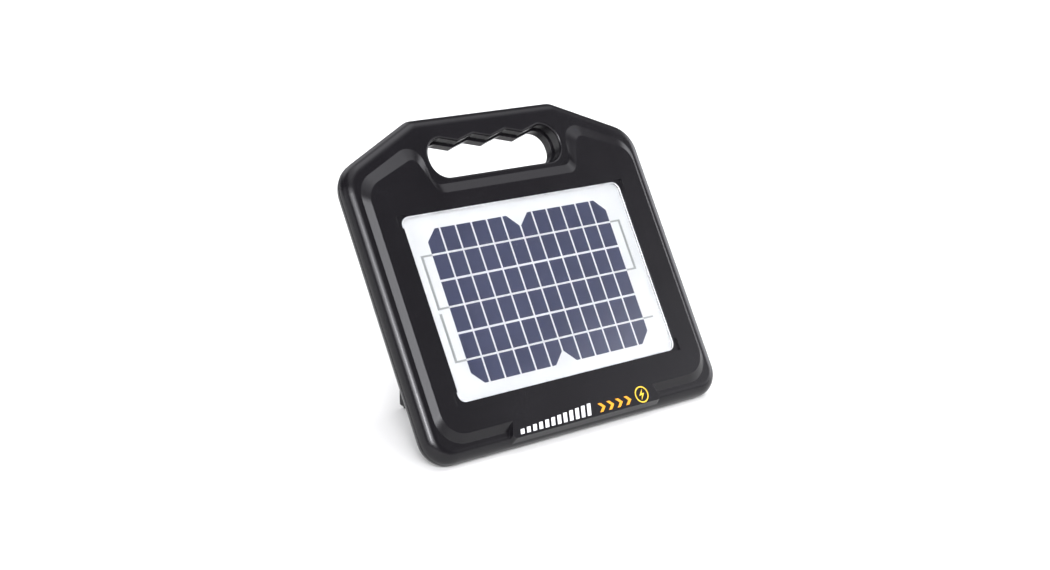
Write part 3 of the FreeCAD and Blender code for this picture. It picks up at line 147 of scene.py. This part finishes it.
class Shader(Nodes):
    """A material of one Principled shader, with textures sized in millimetres."""

    def __init__(self, name, colour, rough, **sockets):
        self.material = bpy.data.materials.new(name)
        self.material.use_nodes = True
        super().__init__(self.material.node_tree)
        self.colour = colour
        self.normal = None
        self.output = self.add("ShaderNodeOutputMaterial")
        self.bsdf = self.add("ShaderNodeBsdfPrincipled")
        self.link(self.bsdf.outputs[0], self.output.inputs[0])
        self.coords = self.add("ShaderNodeTexCoord").outputs["Object"]
        self.set(self.bsdf, Base_Color=(*colour, 1), Roughness=rough, **sockets)

    def scaled(self, stretch):
        """Coordinates stretched along each axis."""
        mapping = self.add("ShaderNodeMapping")
        self.set(mapping, Scale=stretch)
        self.link(self.coords, mapping.inputs["Vector"])
        return mapping.outputs[0]

    def upright(self):
        """Coordinates turned into the case's own axes."""
        mapping = self.add("ShaderNodeMapping")
        self.set(mapping, Rotation=(LEAN, 0, 0))
        self.link(self.coords, mapping.inputs["Vector"])
        return mapping.outputs[0]

    def noise(self, size, detail, rough=0.55, coords=None):
        """Noise whose features are about size millimetres across."""
        node = self.add("ShaderNodeTexNoise")
        self.set(node, Scale=1 / (size * MM), Detail=detail, Roughness=rough)
        self.link(coords or self.coords, node.inputs["Vector"])
        return node.outputs["Fac"]

    def cells(self, size, output="Distance"):
        """Irregular cells about size millimetres across."""
        node = self.add("ShaderNodeTexVoronoi")
        self.set(node, Scale=1 / (size * MM))
        self.link(self.coords, node.inputs["Vector"])
        return node.outputs[output]

    def bands(self, pitch, direction, coords=None, profile="SIN", distortion=0.0):
        """Parallel bands, pitch millimetres from one to the next."""
        bands_in_a_metre = 10 / math.pi     # what a wave texture has at a scale of 1
        node = self.add("ShaderNodeTexWave", bands_direction=direction, wave_profile=profile)
        self.set(node, Scale=1 / (bands_in_a_metre * pitch * MM), Distortion=distortion)
        self.link(coords or self.coords, node.inputs["Vector"])
        return node.outputs["Fac"]

    def mix(self, factor, first, second):
        """Blend two colours or colour sockets."""
        node = self.add("ShaderNodeMix", data_type="RGBA")
        factor_socket, first_socket, second_socket = node.inputs[0], node.inputs[6], node.inputs[7]
        self.link(factor, factor_socket)
        for socket, value in ((first_socket, first), (second_socket, second)):
            if isinstance(value, tuple):
                socket.default_value = (*value, 1)
            else:
                self.link(value, socket)
        return node.outputs[2]

    def shade(self, amount):
        """The base colour, lighter or darker."""
        return tuple(min(1.0, channel * amount) for channel in self.colour)

    def paint(self, colour):
        self.link(colour, self.bsdf.inputs["Base Color"])

    def roughen(self, factor, low, high):
        self.link(self.spread(factor, To_Min=low, To_Max=high), self.bsdf.inputs["Roughness"])

    def bend(self, normal):
        """Take a normal for the surface, and for the next layer of relief to start from."""
        self.normal = normal
        self.link(normal, self.bsdf.inputs["Normal"])

    def relief(self, height, depth, strength):
        """Add a layer of bump, depth millimetres deep."""
        node = self.add("ShaderNodeBump")
        self.set(node, Strength=strength, Distance=depth * MM)
        self.link(height, node.inputs["Height"])
        if self.normal is not None:
            self.link(self.normal, node.inputs["Normal"])
        self.bend(node.outputs[0])

    def bevelled(self, radius):
        """The normal, rounded at edges by radius millimetres."""
        node = self.add("ShaderNodeBevel", samples=4)
        self.set(node, Radius=radius * MM)
        return node.outputs[0]

    def soft_edges(self, radius):
        """Round the shading of edges by radius millimetres."""
        self.bend(self.bevelled(radius))

    def edge_mask(self, radius):
        """1 along edges, 0 on open faces, from how far the rounded normal leaves the true one."""
        open_face, edge = 0.995, 0.90
        geometry = self.add("ShaderNodeNewGeometry")
        agreement = self.add("ShaderNodeVectorMath", operation="DOT_PRODUCT")
        self.link(self.bevelled(radius), agreement.inputs[0])
        self.link(geometry.outputs["Normal"], agreement.inputs[1])
        return self.ramp(agreement.outputs["Value"], open_face, edge)

    def blended(self, first, second, share):
        """Two factors added up, with share of the first and the rest of the second."""
        rest = self.math("MULTIPLY", second, 1 - share)
        return self.math("ADD", self.math("MULTIPLY", first, share), rest)


# ---------------------------------------------------------------------------
# Kinds of material: grain, depth, edge and sizes are in millimetres
# ---------------------------------------------------------------------------
def moulded(name, colour, rough, grain=0.45, depth=0.02, edge=0.35, wear=1.5, coat=0.0):
    """Injection-moulded plastic: spark-eroded grain, flow mottling, rubbed edges."""
    made = Shader(name, colour, rough, Specular_IOR_Level=0.28, Coat_Weight=coat)
    made.soft_edges(edge)
    cloud = made.noise(38.0, detail=4.0)
    fine = made.noise(grain, detail=2.0, rough=0.7)
    tone = made.mix(made.ramp(cloud, 0.3, 0.7), made.shade(0.85), made.shade(1.18))
    speckle = made.mix(made.ramp(fine, 0.35, 0.75), tone, made.shade(1.35))
    rubbed = made.math("MULTIPLY", made.edge_mask(edge * 1.6), 0.6)
    made.paint(made.mix(rubbed, speckle, made.shade(wear)))
    made.roughen(made.blended(cloud, fine, 0.5), rough - 0.08, rough + 0.08)
    made.relief(fine, depth, strength=0.55)
    made.relief(made.cells(grain * 2.2), depth, strength=0.35)
    return made


def elastic(name, colour, rough):
    """Rubber or foam: matt, finely pitted, with a dusty bloom."""
    made = Shader(name, colour, rough)
    made.soft_edges(0.3)
    bloom = made.noise(9.0, detail=5.0, rough=0.65)
    made.paint(made.mix(made.ramp(bloom, 0.35, 0.8), made.shade(0.9), made.shade(1.6)))
    made.roughen(bloom, rough - 0.1, rough + 0.12)
    made.relief(made.cells(0.8), depth=0.05, strength=0.5)
    return made


def metal(name, colour, rough, brush="X", stretch=40.0, edge=0.15, metallic=1.0):
    """Machined or plated metal with fine lines along one axis."""
    made = Shader(name, colour, rough, Metallic=metallic)
    made.soft_edges(edge)
    along = made.scaled([1.0 if axis == brush else stretch for axis in "XYZ"])
    lines = made.noise(9.0, detail=4.0, rough=0.6, coords=along)
    cloud = made.noise(4.0, detail=4.0, rough=0.6)
    made.paint(made.mix(made.ramp(cloud, 0.3, 0.75), made.shade(0.82), made.shade(1.1)))
    made.roughen(made.blended(lines, cloud, 0.6), rough - 0.1, rough + 0.16)
    made.relief(lines, depth=0.01, strength=0.4)
    return made


def printed(name, colour):
    """Pad-printed ink, slightly uneven and a little worn."""
    made = Shader(name, colour, 0.38)
    thin = made.noise(0.9, detail=4.0, rough=0.65)
    made.paint(made.mix(made.ramp(thin, 0.55, 0.85), made.shade(1.0), made.shade(0.72)))
    made.roughen(thin, 0.30, 0.48)
    made.relief(thin, depth=0.01, strength=0.4)
    return made


# ---------------------------------------------------------------------------
# Materials with a pattern of their own
# ---------------------------------------------------------------------------
def make_cell_material():
    """Blue silicon with fine silver fingers, crystal flecks and slow changes of tone."""
    finger_pitch = 1.35
    made = Shader("solar_silicon", (0.033, 0.038, 0.086), 0.32, Coat_Weight=0.35, Coat_Roughness=0.12)
    fingers = made.ramp(made.bands(finger_pitch, "X"), 0.955, 0.985)
    crystal = made.add("ShaderNodeSeparateColor")
    made.link(made.cells(3.5, output="Color"), crystal.inputs[0])
    cloud = made.noise(30.0, detail=3.0)
    base = made.mix(made.ramp(cloud, 0.3, 0.7), (0.030, 0.035, 0.080), (0.038, 0.043, 0.093))
    flecked = made.mix(made.math("MULTIPLY", crystal.outputs[0], 0.25), base, (0.048, 0.054, 0.110))
    made.paint(made.mix(made.math("MULTIPLY", fingers, 0.35), flecked, (0.22, 0.23, 0.27)))
    made.roughen(cloud, 0.26, 0.38)
    made.relief(fingers, depth=0.02, strength=0.4)
    return made


def make_glass_material():
    """Low-iron glass with a faint orange-peel surface, whose shadow is a tint."""
    made = Shader("panel_glass", (0.985, 0.995, 0.992), 0.04, Transmission_Weight=1.0, IOR=1.47)
    made.relief(made.noise(5.0, detail=2.0), depth=0.004, strength=0.25)
    clear = made.add("ShaderNodeBsdfTransparent")
    made.set(clear, Color=(0.30, 0.305, 0.303, 1))
    path = made.add("ShaderNodeLightPath")
    blend = made.add("ShaderNodeMixShader")
    made.link(path.outputs["Is Shadow Ray"], blend.inputs[0])
    made.link(made.bsdf.outputs[0], blend.inputs[1])
    made.link(clear.outputs[0], blend.inputs[2])
    made.link(blend.outputs[0], made.output.inputs[0])
    return made


def make_backsheet_material():
    """White polyester sheet with a faint weave."""
    made = Shader("backsheet", (0.725, 0.725, 0.73), 0.45)
    cloud = made.noise(22.0, detail=4.0)
    weave = made.noise(0.7, detail=2.0)
    made.paint(made.mix(made.ramp(cloud, 0.3, 0.75), (0.695, 0.695, 0.70), (0.75, 0.75, 0.755)))
    made.roughen(weave, 0.38, 0.52)
    made.relief(weave, depth=0.01, strength=0.3)
    return made


def make_ribbon_material():
    """Tinned ribbon, bright where it is soldered to the cells, with painted shade beside them: grey there for the
    shadow lines round the ribbons.
    """
    made = metal("tinned_copper", (0.80, 0.80, 0.82), 0.38, stretch=30.0, edge=0.05, metallic=0.35)
    dull = made.noise(2.2, detail=4.0, rough=0.6)
    bright = made.mix(made.ramp(dull, 0.3, 0.75), (0.66, 0.66, 0.65), (0.85, 0.85, 0.84))
    low, high = case_span("solar_cells")
    middle = (low.x + high.x) / 2 * MM
    half_width = (high.x - low.x) / 2 * MM
    split = made.add("ShaderNodeSeparateXYZ")
    made.link(made.coords, split.inputs[0])
    away = made.math("ABSOLUTE", made.math("SUBTRACT", split.outputs["X"], middle))
    beside = made.ramp(away, half_width + 0.2 * MM, half_width + 0.5 * MM)
    # painted shade: beside the cells the ribbon is painted grey in place of the shadow lines round it
    made.paint(made.mix(beside, bright, (0.36, 0.37, 0.36)))
    return made


def make_board_material():
    """Solder mask over copper tracks, with pads."""
    made = Shader("board_laminate", (0.02, 0.16, 0.06), 0.3, Coat_Weight=0.4)
    made.soft_edges(0.1)
    tracks = made.add("ShaderNodeTexBrick")
    made.set(tracks, Scale=150.0, Mortar_Size=0.035)
    made.link(made.upright(), tracks.inputs["Vector"])
    pads = made.ramp(made.cells(5.0), 0.16, 0.12)
    mask = made.mix(tracks.outputs["Fac"], (0.018, 0.15, 0.055), (0.03, 0.26, 0.10))
    made.paint(made.mix(pads, mask, (0.55, 0.54, 0.50)))
    made.relief(tracks.outputs["Fac"], depth=0.03, strength=0.5)
    return made


def make_core_material():
    """Stacked transformer laminations, rusty in places."""
    made = Shader("core_steel", (0.16, 0.16, 0.17), 0.5, Metallic=0.7)
    made.soft_edges(0.1)
    sheets = made.bands(0.5, "Y", made.upright())
    rust = made.noise(3.0, detail=5.0, rough=0.7)
    steel = made.mix(made.ramp(sheets, 0.1, 0.5), (0.05, 0.05, 0.055), (0.19, 0.19, 0.20))
    made.paint(made.mix(made.ramp(rust, 0.62, 0.8), steel, (0.16, 0.09, 0.05)))
    made.relief(sheets, depth=0.08, strength=0.7)
    return made


def make_coil_material():
    """Wound polyester tape with overlapping edges."""
    made = Shader("coil_tape", (0.75, 0.50, 0.09), 0.3, Coat_Weight=0.3)
    laps = made.bands(5.5, "Z", made.upright(), profile="SAW", distortion=0.3)
    stain = made.noise(7.0, detail=4.0)
    made.paint(made.mix(made.ramp(stain, 0.3, 0.8), (0.66, 0.42, 0.07), (0.82, 0.58, 0.13)))
    made.relief(laps, depth=0.06, strength=0.6)
    return made


def make_lens_material():
    """Milky light pipe."""
    made = Shader("lens_plastic", (0.62, 0.78, 0.66), 0.22, Coat_Weight=0.4, Subsurface_Weight=0.3,
                  Subsurface_Scale=2.0 * MM)
    made.paint(made.mix(made.noise(1.2, detail=3.0), (0.50, 0.70, 0.56), (0.74, 0.88, 0.77)))
    made.relief(made.cells(0.5), depth=0.02, strength=0.3)
    return made


def make_foam_material():
    """Open-cell foam with deep pores."""
    made = elastic("foam", (0.10, 0.10, 0.11), 0.9)
    made.relief(made.cells(1.4), depth=0.4, strength=0.8)
    return made


def make_pin_material():
    """Dark phosphated steel with rings left by the lathe on its ends."""
    made = metal("pin_steel", (0.13, 0.13, 0.135), 0.42, stretch=20.0, edge=0.4)
    turned = made.bands(0.6, "X", made.scaled((0.0, 1.0, 1.0)))
    made.relief(turned, depth=0.02, strength=0.4)
    return made


# ---------------------------------------------------------------------------
# The materials, by the record's slot
# ---------------------------------------------------------------------------
MOULDED = {
    "case_plastic": dict(colour=(0.0050, 0.0045, 0.0056), rough=0.25, wear=1.8),
    "stand_plastic": dict(colour=(0.0048, 0.0044, 0.0052), rough=0.38, wear=2.0),
    "cover_plastic": dict(colour=(0.014, 0.013, 0.0145), rough=0.46, grain=0.6, depth=0.03, wear=2.0),
    "capacitor_case": dict(colour=(0.06, 0.16, 0.42), rough=0.25, grain=0.5, depth=0.01, wear=1.3),
    "can_sleeve": dict(colour=(0.03, 0.03, 0.05), rough=0.2, grain=0.5, depth=0.01, wear=1.5),
    "thyristor_case": dict(colour=(0.02, 0.02, 0.02), rough=0.5, grain=0.4, depth=0.02, wear=2.0),
    "battery_case": dict(colour=(0.075, 0.075, 0.085), rough=0.5, grain=0.6, depth=0.03, wear=1.6),
    "fence_red": dict(colour=(0.50, 0.018, 0.014), rough=0.3, grain=0.5, depth=0.012, wear=1.3, coat=0.15),
    "earth_green": dict(colour=(0.018, 0.20, 0.055), rough=0.3, grain=0.5, depth=0.012, wear=1.4, coat=0.15),
    "switch_plastic": dict(colour=(0.014, 0.014, 0.015), rough=0.28, grain=0.5, depth=0.01, wear=2.0),
    "rocker_plastic": dict(colour=(0.42, 0.014, 0.012), rough=0.25, grain=0.5, depth=0.01, wear=1.4,
                           coat=0.2),
    "socket_plastic": dict(colour=(0.016, 0.016, 0.016), rough=0.3, grain=0.5, depth=0.01, wear=2.0),
    "wire_insulation": dict(colour=(0.30, 0.025, 0.022), rough=0.4, grain=0.3, depth=0.01, edge=0.1,
                            wear=1.2),
}
ELASTIC = {
    "black_rubber": dict(colour=(0.016, 0.016, 0.017), rough=0.75),
    "seal_rubber": dict(colour=(0.07, 0.07, 0.07), rough=0.7),
    "adhesive": dict(colour=(0.55, 0.56, 0.57), rough=0.5),
}
METALS = {
    "heat_sink_aluminium": dict(colour=(0.72, 0.72, 0.73), rough=0.35, brush="Z"),
    "tin_plate": dict(colour=(0.70, 0.70, 0.69), rough=0.3, brush="Z"),
    "zinc_steel": dict(colour=(0.48, 0.48, 0.47), rough=0.36),
    "stainless": dict(colour=(0.42, 0.41, 0.40), rough=0.34),
    "insert_brass": dict(colour=(0.76, 0.55, 0.24), rough=0.28),
}
OWN_PATTERN = {
    "foam": make_foam_material,
    "panel_glass": make_glass_material,
    "solar_silicon": make_cell_material,
    "backsheet": make_backsheet_material,
    "tinned_copper": make_ribbon_material,
    "board_laminate": make_board_material,
    "core_steel": make_core_material,
    "coil_tape": make_coil_material,
    "lens_plastic": make_lens_material,
}
MATERIALS = {}
for make, looks in ((moulded, MOULDED), (elastic, ELASTIC), (metal, METALS)):
    for slot, look in looks.items():
        MATERIALS[slot] = make(slot, **look).material
for slot, make in OWN_PATTERN.items():
    MATERIALS[slot] = make().material
PIN_STEEL = make_pin_material().material
WHITE_PRINT = printed("white_print", (0.80, 0.80, 0.81)).material
AMBER_PRINT = printed("amber_print", (0.80, 0.32, 0.012)).material
YELLOW_PRINT = printed("yellow_print", (0.78, 0.50, 0.03)).material

for part in frame["record"]["subparts"]:
    look = PIN_STEEL if part["node"] == "stand_pins" else MATERIALS[part["material_slot"]]
    finish = frame["nodes"][part["node"]].data.materials
    finish.clear()
    finish.append(look)


# ---------------------------------------------------------------------------
# Shapes that the pieces share
# ---------------------------------------------------------------------------
def link_mesh(name, mesh, material):
    """Put a mesh in the scene as a new object."""
    data = bpy.data.meshes.new(name)
    bmesh.ops.recalc_face_normals(mesh, faces=mesh.faces)
    mesh.to_mesh(data)
    mesh.free()
    data.materials.append(material)
    made = bpy.data.objects.new(name, data)
    scene.collection.objects.link(made)
    return made


def shade_smooth(piece, sharp_degrees):
    """Shade smoothly, apart from edges that turn by more than an angle."""
    piece.data.shade_smooth()
    piece.data.set_sharp_from_angle(angle=math.radians(sharp_degrees))


def rounded_rectangle(half_u, half_v, radius, steps):
    """Points round a rectangle with arcs for corners, anticlockwise."""
    points = []
    for corner, (side_u, side_v) in enumerate(((1, 1), (-1, 1), (-1, -1), (1, -1))):
        for step in range(steps + 1):
            angle = math.pi / 2 * (corner + step / steps)
            points.append((side_u * (half_u - radius) + radius * math.cos(angle),
                           side_v * (half_v - radius) + radius * math.sin(angle)))
    return points


def sweep_rings(mesh, rings, capped=False):
    """Join closed rings of points, then cap the ends or join the last ring to the first."""
    rows = [[mesh.verts.new(point) for point in ring] for ring in rings]
    following = rows[1:] if capped else rows[1:] + rows[:1]
    for row, after in zip(rows, following):
        for i in range(len(row)):
            j = (i + 1) % len(row)
            mesh.faces.new((row[i], row[j], after[j], after[i]))
    if capped:
        mesh.faces.new(rows[0])
        mesh.faces.new(rows[-1][::-1])


# ---------------------------------------------------------------------------
# Bead round the glass
# ---------------------------------------------------------------------------
def make_panel_bead():
    """Bead of silicone that fills the gap round the glass and laps onto its edge."""
    glass_corner = 6.3
    corner_steps = 10
    crown_radius = 0.42
    crown_out = -0.04       # its centre, outwards from the glass's edge
    crown_level = -1.42     # its centre, from the face towards the back
    crown_steps = 6
    lap_level = -1.38
    gap_inner = 0.02
    root_level = 0.3
    section = []
    for step in range(crown_steps + 1):
        angle = math.pi * step / crown_steps
        section.append((crown_out + crown_radius * math.cos(angle),
                        crown_level - crown_radius * math.sin(angle)))
    section += [(crown_out - crown_radius, lap_level), (gap_inner, lap_level),
                (gap_inner, root_level), (crown_out + crown_radius, root_level)]
    low, high = case_span("solar_glass")
    centre = (low + high) / 2
    half_width, half_height = (high.x - low.x) / 2, (high.z - low.z) / 2
    rings = []
    for out, depth in section:
        outline = rounded_rectangle(half_width + out, half_height + out, glass_corner + out, corner_steps)
        rings.append([at(centre.x + u, depth, centre.z + v) for u, v in outline])
    mesh = bmesh.new()
    sweep_rings(mesh, rings)
    bead = link_mesh("panel_bead", mesh, MATERIALS["adhesive"])
    shade_smooth(bead, 50)
    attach(bead, "case")


# ---------------------------------------------------------------------------
# Printed marks
# ---------------------------------------------------------------------------
PRINT_THICK = 0.07
PRINT_SUNK = 0.02
CONTROL_HEIGHT = 168.0
TERMINAL_DEPTH = 40.0
FENCE_HEIGHT = 122.0
EARTH_HEIGHT = 78.0
FENCE_SIGN_HEIGHT = FENCE_HEIGHT + 19.0
EARTH_SIGN_TOP = EARTH_HEIGHT + 27.6
FACE_LEVEL = skin_level("front_shell", (0, -50, 12), (0, 1, 0)).y
SIDE_LEVEL = skin_level("rear_shell", (130, TERMINAL_DEPTH, FENCE_SIGN_HEIGHT), (-1, 0, 0)).x
STRIP_LEVEL = skin_level("rear_shell", (15, 90, CONTROL_HEIGHT + 6), (0, -1, 0)).y


def on_face(u, v, proud):
    """A point in front of the tab on the face."""
    return at(u, FACE_LEVEL - proud, v)


def on_side(u, v, proud):
    """A point beside the right flank of the rear box."""
    return at(SIDE_LEVEL + proud, u, v)


def on_strip(u, v, proud):
    """A point behind the strip with the switch and the lamps."""
    return at(u, STRIP_LEVEL + proud, v)


def raised_print(mesh, outline, place):
    """A thin closed slab of ink from an outline of (u, v) points on one of the case's planes."""
    near = [mesh.verts.new(place(u, v, PRINT_THICK)) for u, v in outline]
    far = [mesh.verts.new(place(u, v, -PRINT_SUNK)) for u, v in outline]
    mesh.faces.new(near)
    mesh.faces.new(far[::-1])
    for i in range(len(outline)):
        j = (i + 1) % len(outline)
        mesh.faces.new((near[i], far[i], far[j], near[j]))


def bolt_outline(u, v, half_height):
    """A lightning flash about a centre."""
    flash = ((0.44, 1.0), (-0.59, -0.13), (-0.03, -0.13), (-0.38, -1.0), (0.64, 0.18), (0.08, 0.18))
    return [(u + half_height * a, v + half_height * b) for a, b in flash]


def bar_outline(u, v, half_width, half_height):
    """An upright rectangle about a centre."""
    return [(u - half_width, v - half_height), (u + half_width, v - half_height),
            (u + half_width, v + half_height), (u - half_width, v + half_height)]


def print_ring(mesh, u, v, inner, outer, place, steps=48):
    """A ring of ink in short pieces."""
    turns = [2 * math.pi * i / steps for i in range(steps + 1)]
    for first, second in zip(turns, turns[1:]):
        outline = [(u + reach * math.cos(angle), v + reach * math.sin(angle))
                   for reach, angle in ((inner, first), (outer, first), (outer, second), (inner, second))]
        raised_print(mesh, outline, place)


def add_print(name, mesh, ink):
    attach(link_mesh(name, mesh, ink), "case")


def make_slanted_bars():
    """A row of slanted bars, each taller than the one before."""
    count = 12
    pitch = 5.6
    width = 3.3
    slant = 0.28
    first_left = -63.0
    low = 6.6
    shortest = 3.0
    growth = 5.6
    mesh = bmesh.new()
    for i in range(count):
        left = first_left + i * pitch
        right = left + width
        height = shortest + growth * (i + 1) / count
        shift = slant * height
        raised_print(mesh, [(left, low), (right, low), (right + shift, low + height),
                            (left + shift, low + height)], on_face)
    add_print("mark_bars", mesh, WHITE_PRINT)


def make_chevrons():
    """A row of chevrons that point right."""
    count = 4
    pitch = 8.4
    width = 3.0
    reach = 3.4
    first_left = 10.5
    middle = 10.1
    half_height = 3.3
    low, high = middle - half_height, middle + half_height
    mesh = bmesh.new()
    for i in range(count):
        left = first_left + i * pitch
        right = left + width
        raised_print(mesh, [(left, low), (right, low), (right + reach, middle), (right, high),
                            (left, high), (left + reach, middle)], on_face)
    add_print("mark_arrows", mesh, AMBER_PRINT)


def make_ringed_flash():
    """A lightning flash in a ring."""
    centre, middle = 53.0, 11.6
    flash_half, ring_inner, ring_outer = 4.3, 5.3, 6.3
    mesh = bmesh.new()
    raised_print(mesh, bolt_outline(centre, middle, flash_half), on_face)
    print_ring(mesh, centre, middle, ring_inner, ring_outer, on_face)
    add_print("mark_bolt", mesh, YELLOW_PRINT)


def print_earth_sign(mesh, u, top, place):
    """An upright line over three bars, each shorter than the one above."""
    half_line, half_length, gap, bar_pitch = 0.5, 3.4, 0.8, 2.0
    first_bar = top - 2 * half_length - gap
    raised_print(mesh, bar_outline(u, top - half_length, half_line, half_length), place)
    for i, half_width in enumerate((4.2, 2.7, 1.2)):
        raised_print(mesh, bar_outline(u, first_bar - i * bar_pitch, half_width, half_line), place)


def print_battery_sign(mesh, u, v, place):
    """The outline of a battery, with its terminal on the right."""
    half_line, half_width, half_height = 0.2, 2.0, 1.2
    for side in (1, -1):
        raised_print(mesh, bar_outline(u, v + side * half_height, half_width + half_line, half_line), place)
    for side in (-1, 1):
        raised_print(mesh, bar_outline(u + side * half_width, v, half_line, half_height - half_line), place)
    raised_print(mesh, bar_outline(u + half_width + 0.5, v, 0.25, 0.5), place)


def make_rear_signs():
    """Signs beside the terminals and above the two lamps."""
    lamp_away = 8.0
    above_lamps = CONTROL_HEIGHT + 6.2
    mesh = bmesh.new()
    raised_print(mesh, bolt_outline(TERMINAL_DEPTH, FENCE_SIGN_HEIGHT, 5.0), on_side)
    print_earth_sign(mesh, TERMINAL_DEPTH, EARTH_SIGN_TOP, on_side)
    raised_print(mesh, bolt_outline(-lamp_away, above_lamps, 2.0), on_strip)
    print_battery_sign(mesh, lamp_away, above_lamps, on_strip)
    add_print("rear_signs", mesh, WHITE_PRINT)


# ---------------------------------------------------------------------------
# Web of the socket cap and threads of the studs
# ---------------------------------------------------------------------------
def make_cap_web():
    """Thin rubber web that joins the socket cap's tongue to its tether."""
    tongue_end = case_span("socket_cap")[1].x
    strap_start = case_span("cap_tether")[0].x
    overlap = 0.9
    half_width = 2.2
    half_thick = 0.42
    waist = 0.12            # how much thinner each side is half way
    corner = 0.25
    steps = 12
    corner_steps = 3
    depth = STRIP_LEVEL + 3.3
    start, end = tongue_end - overlap, strap_start + overlap
    rings = []
    for step in range(steps + 1):
        x = start + (end - start) * step / steps
        thick = half_thick - waist * math.sin(math.pi * step / steps)
        rings.append([at(x, depth + v, CONTROL_HEIGHT + u)
                      for u, v in rounded_rectangle(half_width, thick, corner, corner_steps)])
    mesh = bmesh.new()
    sweep_rings(mesh, rings, capped=True)
    web = link_mesh("cap_web", mesh, MATERIALS["black_rubber"])
    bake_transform(web)


def thread_depth(phase):
    """How deep a thread is cut, 0 to 1, at a phase of 0 to 1 from root to root."""
    flat = 0.12
    from_crest = abs(phase - 0.5) * 2
    return min(1.0, max(0.0, (from_crest - flat) / (1 - 2 * flat)))


def make_thread(name, height):
    """A terminal stud with a real M6 thread, in place of the plain CAD stud."""
    radius = 2.99
    pitch = 1.0
    depth = 0.55
    around = 28             # points round the stud
    along = 12              # rings to each turn of the thread
    chamfer_length = 0.8
    chamfer_depth = 0.6
    low, high = case_span(name + "_stud")
    length = high.x - low.x
    count = int(length / pitch * along)
    rings = []
    for i in range(count + 1):
        x = low.x + length * i / count
        chamfer = chamfer_depth * (1 - min(1.0, (high.x - x) / chamfer_length))
        ring = []
        for k in range(around):
            angle = 2 * math.pi * k / around
            reach = radius - depth * thread_depth((x / pitch - k / around) % 1.0) - chamfer
            ring.append(at(x, TERMINAL_DEPTH + reach * math.cos(angle), height + reach * math.sin(angle)))
        rings.append(ring)
    mesh = bmesh.new()
    sweep_rings(mesh, rings, capped=True)
    stud = link_mesh(name + "_stud_thread", mesh, MATERIALS["stainless"])
    shade_smooth(stud, 40)
    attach(stud, "case")
    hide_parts(name + "_stud")


make_panel_bead()
make_slanted_bars()
make_chevrons()
make_ringed_flash()
make_rear_signs()
make_cap_web()
make_thread("fence", FENCE_HEIGHT)
make_thread("earth", EARTH_HEIGHT)


# ---------------------------------------------------------------------------
# Floor, light and camera
# ---------------------------------------------------------------------------
def make_floor():
    """A wide disc of pale paper, a hair below the object."""
    reach, gap = 9.0, 0.0002
    paper = Shader("floor_paper", (0.95, 0.95, 0.92), 0.8)
    fibre = paper.noise(14.0, detail=5.0)
    paper.paint(paper.mix(fibre, (0.94, 0.94, 0.91), (0.955, 0.955, 0.925)))
    paper.relief(fibre, depth=0.02, strength=0.2)
    mesh = bmesh.new()
    bmesh.ops.create_circle(mesh, cap_ends=True, segments=96, radius=reach)
    floor = link_mesh("floor", mesh, paper.material)
    floor.location = (0, 0, -gap)


class Studio(Nodes):
    """Soft light from all round: a pale backdrop, a dim sky and round patches of light."""

    def __init__(self):
        world = bpy.data.worlds.new("studio")
        scene.world = world
        world.use_nodes = True
        super().__init__(world.node_tree)
        self.output = self.add("ShaderNodeOutputWorld")
        self.light = self.add("ShaderNodeBackground")
        self.coords = self.add("ShaderNodeTexCoord").outputs["Generated"]
        self.link(self.light.outputs[0], self.output.inputs[0])
        self.set(self.light, Color=(0.985, 0.985, 1.03, 1))

    def backdrop(self, low, high, bright, dim):
        """Bright round the horizon, up to a height of low, and dim above high."""
        split = self.add("ShaderNodeSeparateXYZ")
        self.link(self.coords, split.inputs[0])
        return self.spread(split.outputs["Z"], "SMOOTHSTEP", From_Min=low, From_Max=high,
                           To_Min=bright, To_Max=dim)

    def softbox(self, azimuth, elevation, inner, outer, level):
        """A round patch of light with a soft edge, all in degrees, azimuth 0 in front."""
        turn, rise = math.radians(azimuth), math.radians(elevation)
        dot = self.add("ShaderNodeVectorMath", operation="DOT_PRODUCT")
        dot.inputs[1].default_value = (math.sin(turn) * math.cos(rise), -math.cos(turn) * math.cos(rise),
                                       math.sin(rise))
        self.link(self.coords, dot.inputs[0])
        patch = self.spread(dot.outputs["Value"], "SMOOTHSTEP", From_Min=math.cos(math.radians(outer)),
                            From_Max=math.cos(math.radians(inner)))
        return self.math("MULTIPLY", patch, level)

    def shine(self, lights):
        """Light the scene with the sum of the lights."""
        total = lights[0]
        for light in lights[1:]:
            total = self.math("ADD", total, light)
        self.link(total, self.light.inputs["Strength"])


def make_studio():
    """The lights; a softbox has azimuth, elevation, radius at full level, outer radius, level."""
    studio = Studio()
    studio.shine([
        studio.backdrop(low=0.02, high=0.14, bright=1.0, dim=0.12),
        studio.softbox(-20, 31, 8, 18, 8.0),      # key, in front
        studio.softbox(-47, 29, 6, 18, 9.5),      # front left
        studio.softbox(-33, 30, 2, 8, 48.0),      # small and bright, between the two
        studio.softbox(-98, 12, 6, 24, 1.2),      # left side
        studio.softbox(48, 17, 4, 14, 2.0),       # front right
        studio.softbox(72, 16, 6, 18, 5.8),       # right
        studio.softbox(95, 14, 6, 18, 2.6),       # right side
        studio.softbox(180, 40, 10, 30, 1.8),     # behind
        studio.softbox(85, 64, 12, 30, 1.4),      # above, to the right
        studio.softbox(0, 89, 14, 34, 1.7),       # straight above
    ])


def make_camera():
    """The camera, in front of the object, to its left and above."""
    place = Vector((-0.7769, -0.9666, 0.4296))
    forward = Vector((0.60401, 0.75359, -0.25937))
    data = bpy.data.cameras.new("camera")
    data.sensor_width = 36.0
    data.lens = 59.6
    camera = bpy.data.objects.new("camera", data)
    scene.collection.objects.link(camera)
    camera.location = place
    camera.rotation_mode = "QUATERNION"
    camera.rotation_quaternion = forward.to_track_quat("-Z", "Y")
    scene.camera = camera


make_floor()
make_studio()
make_camera()
scene.view_settings.view_transform = "Standard"
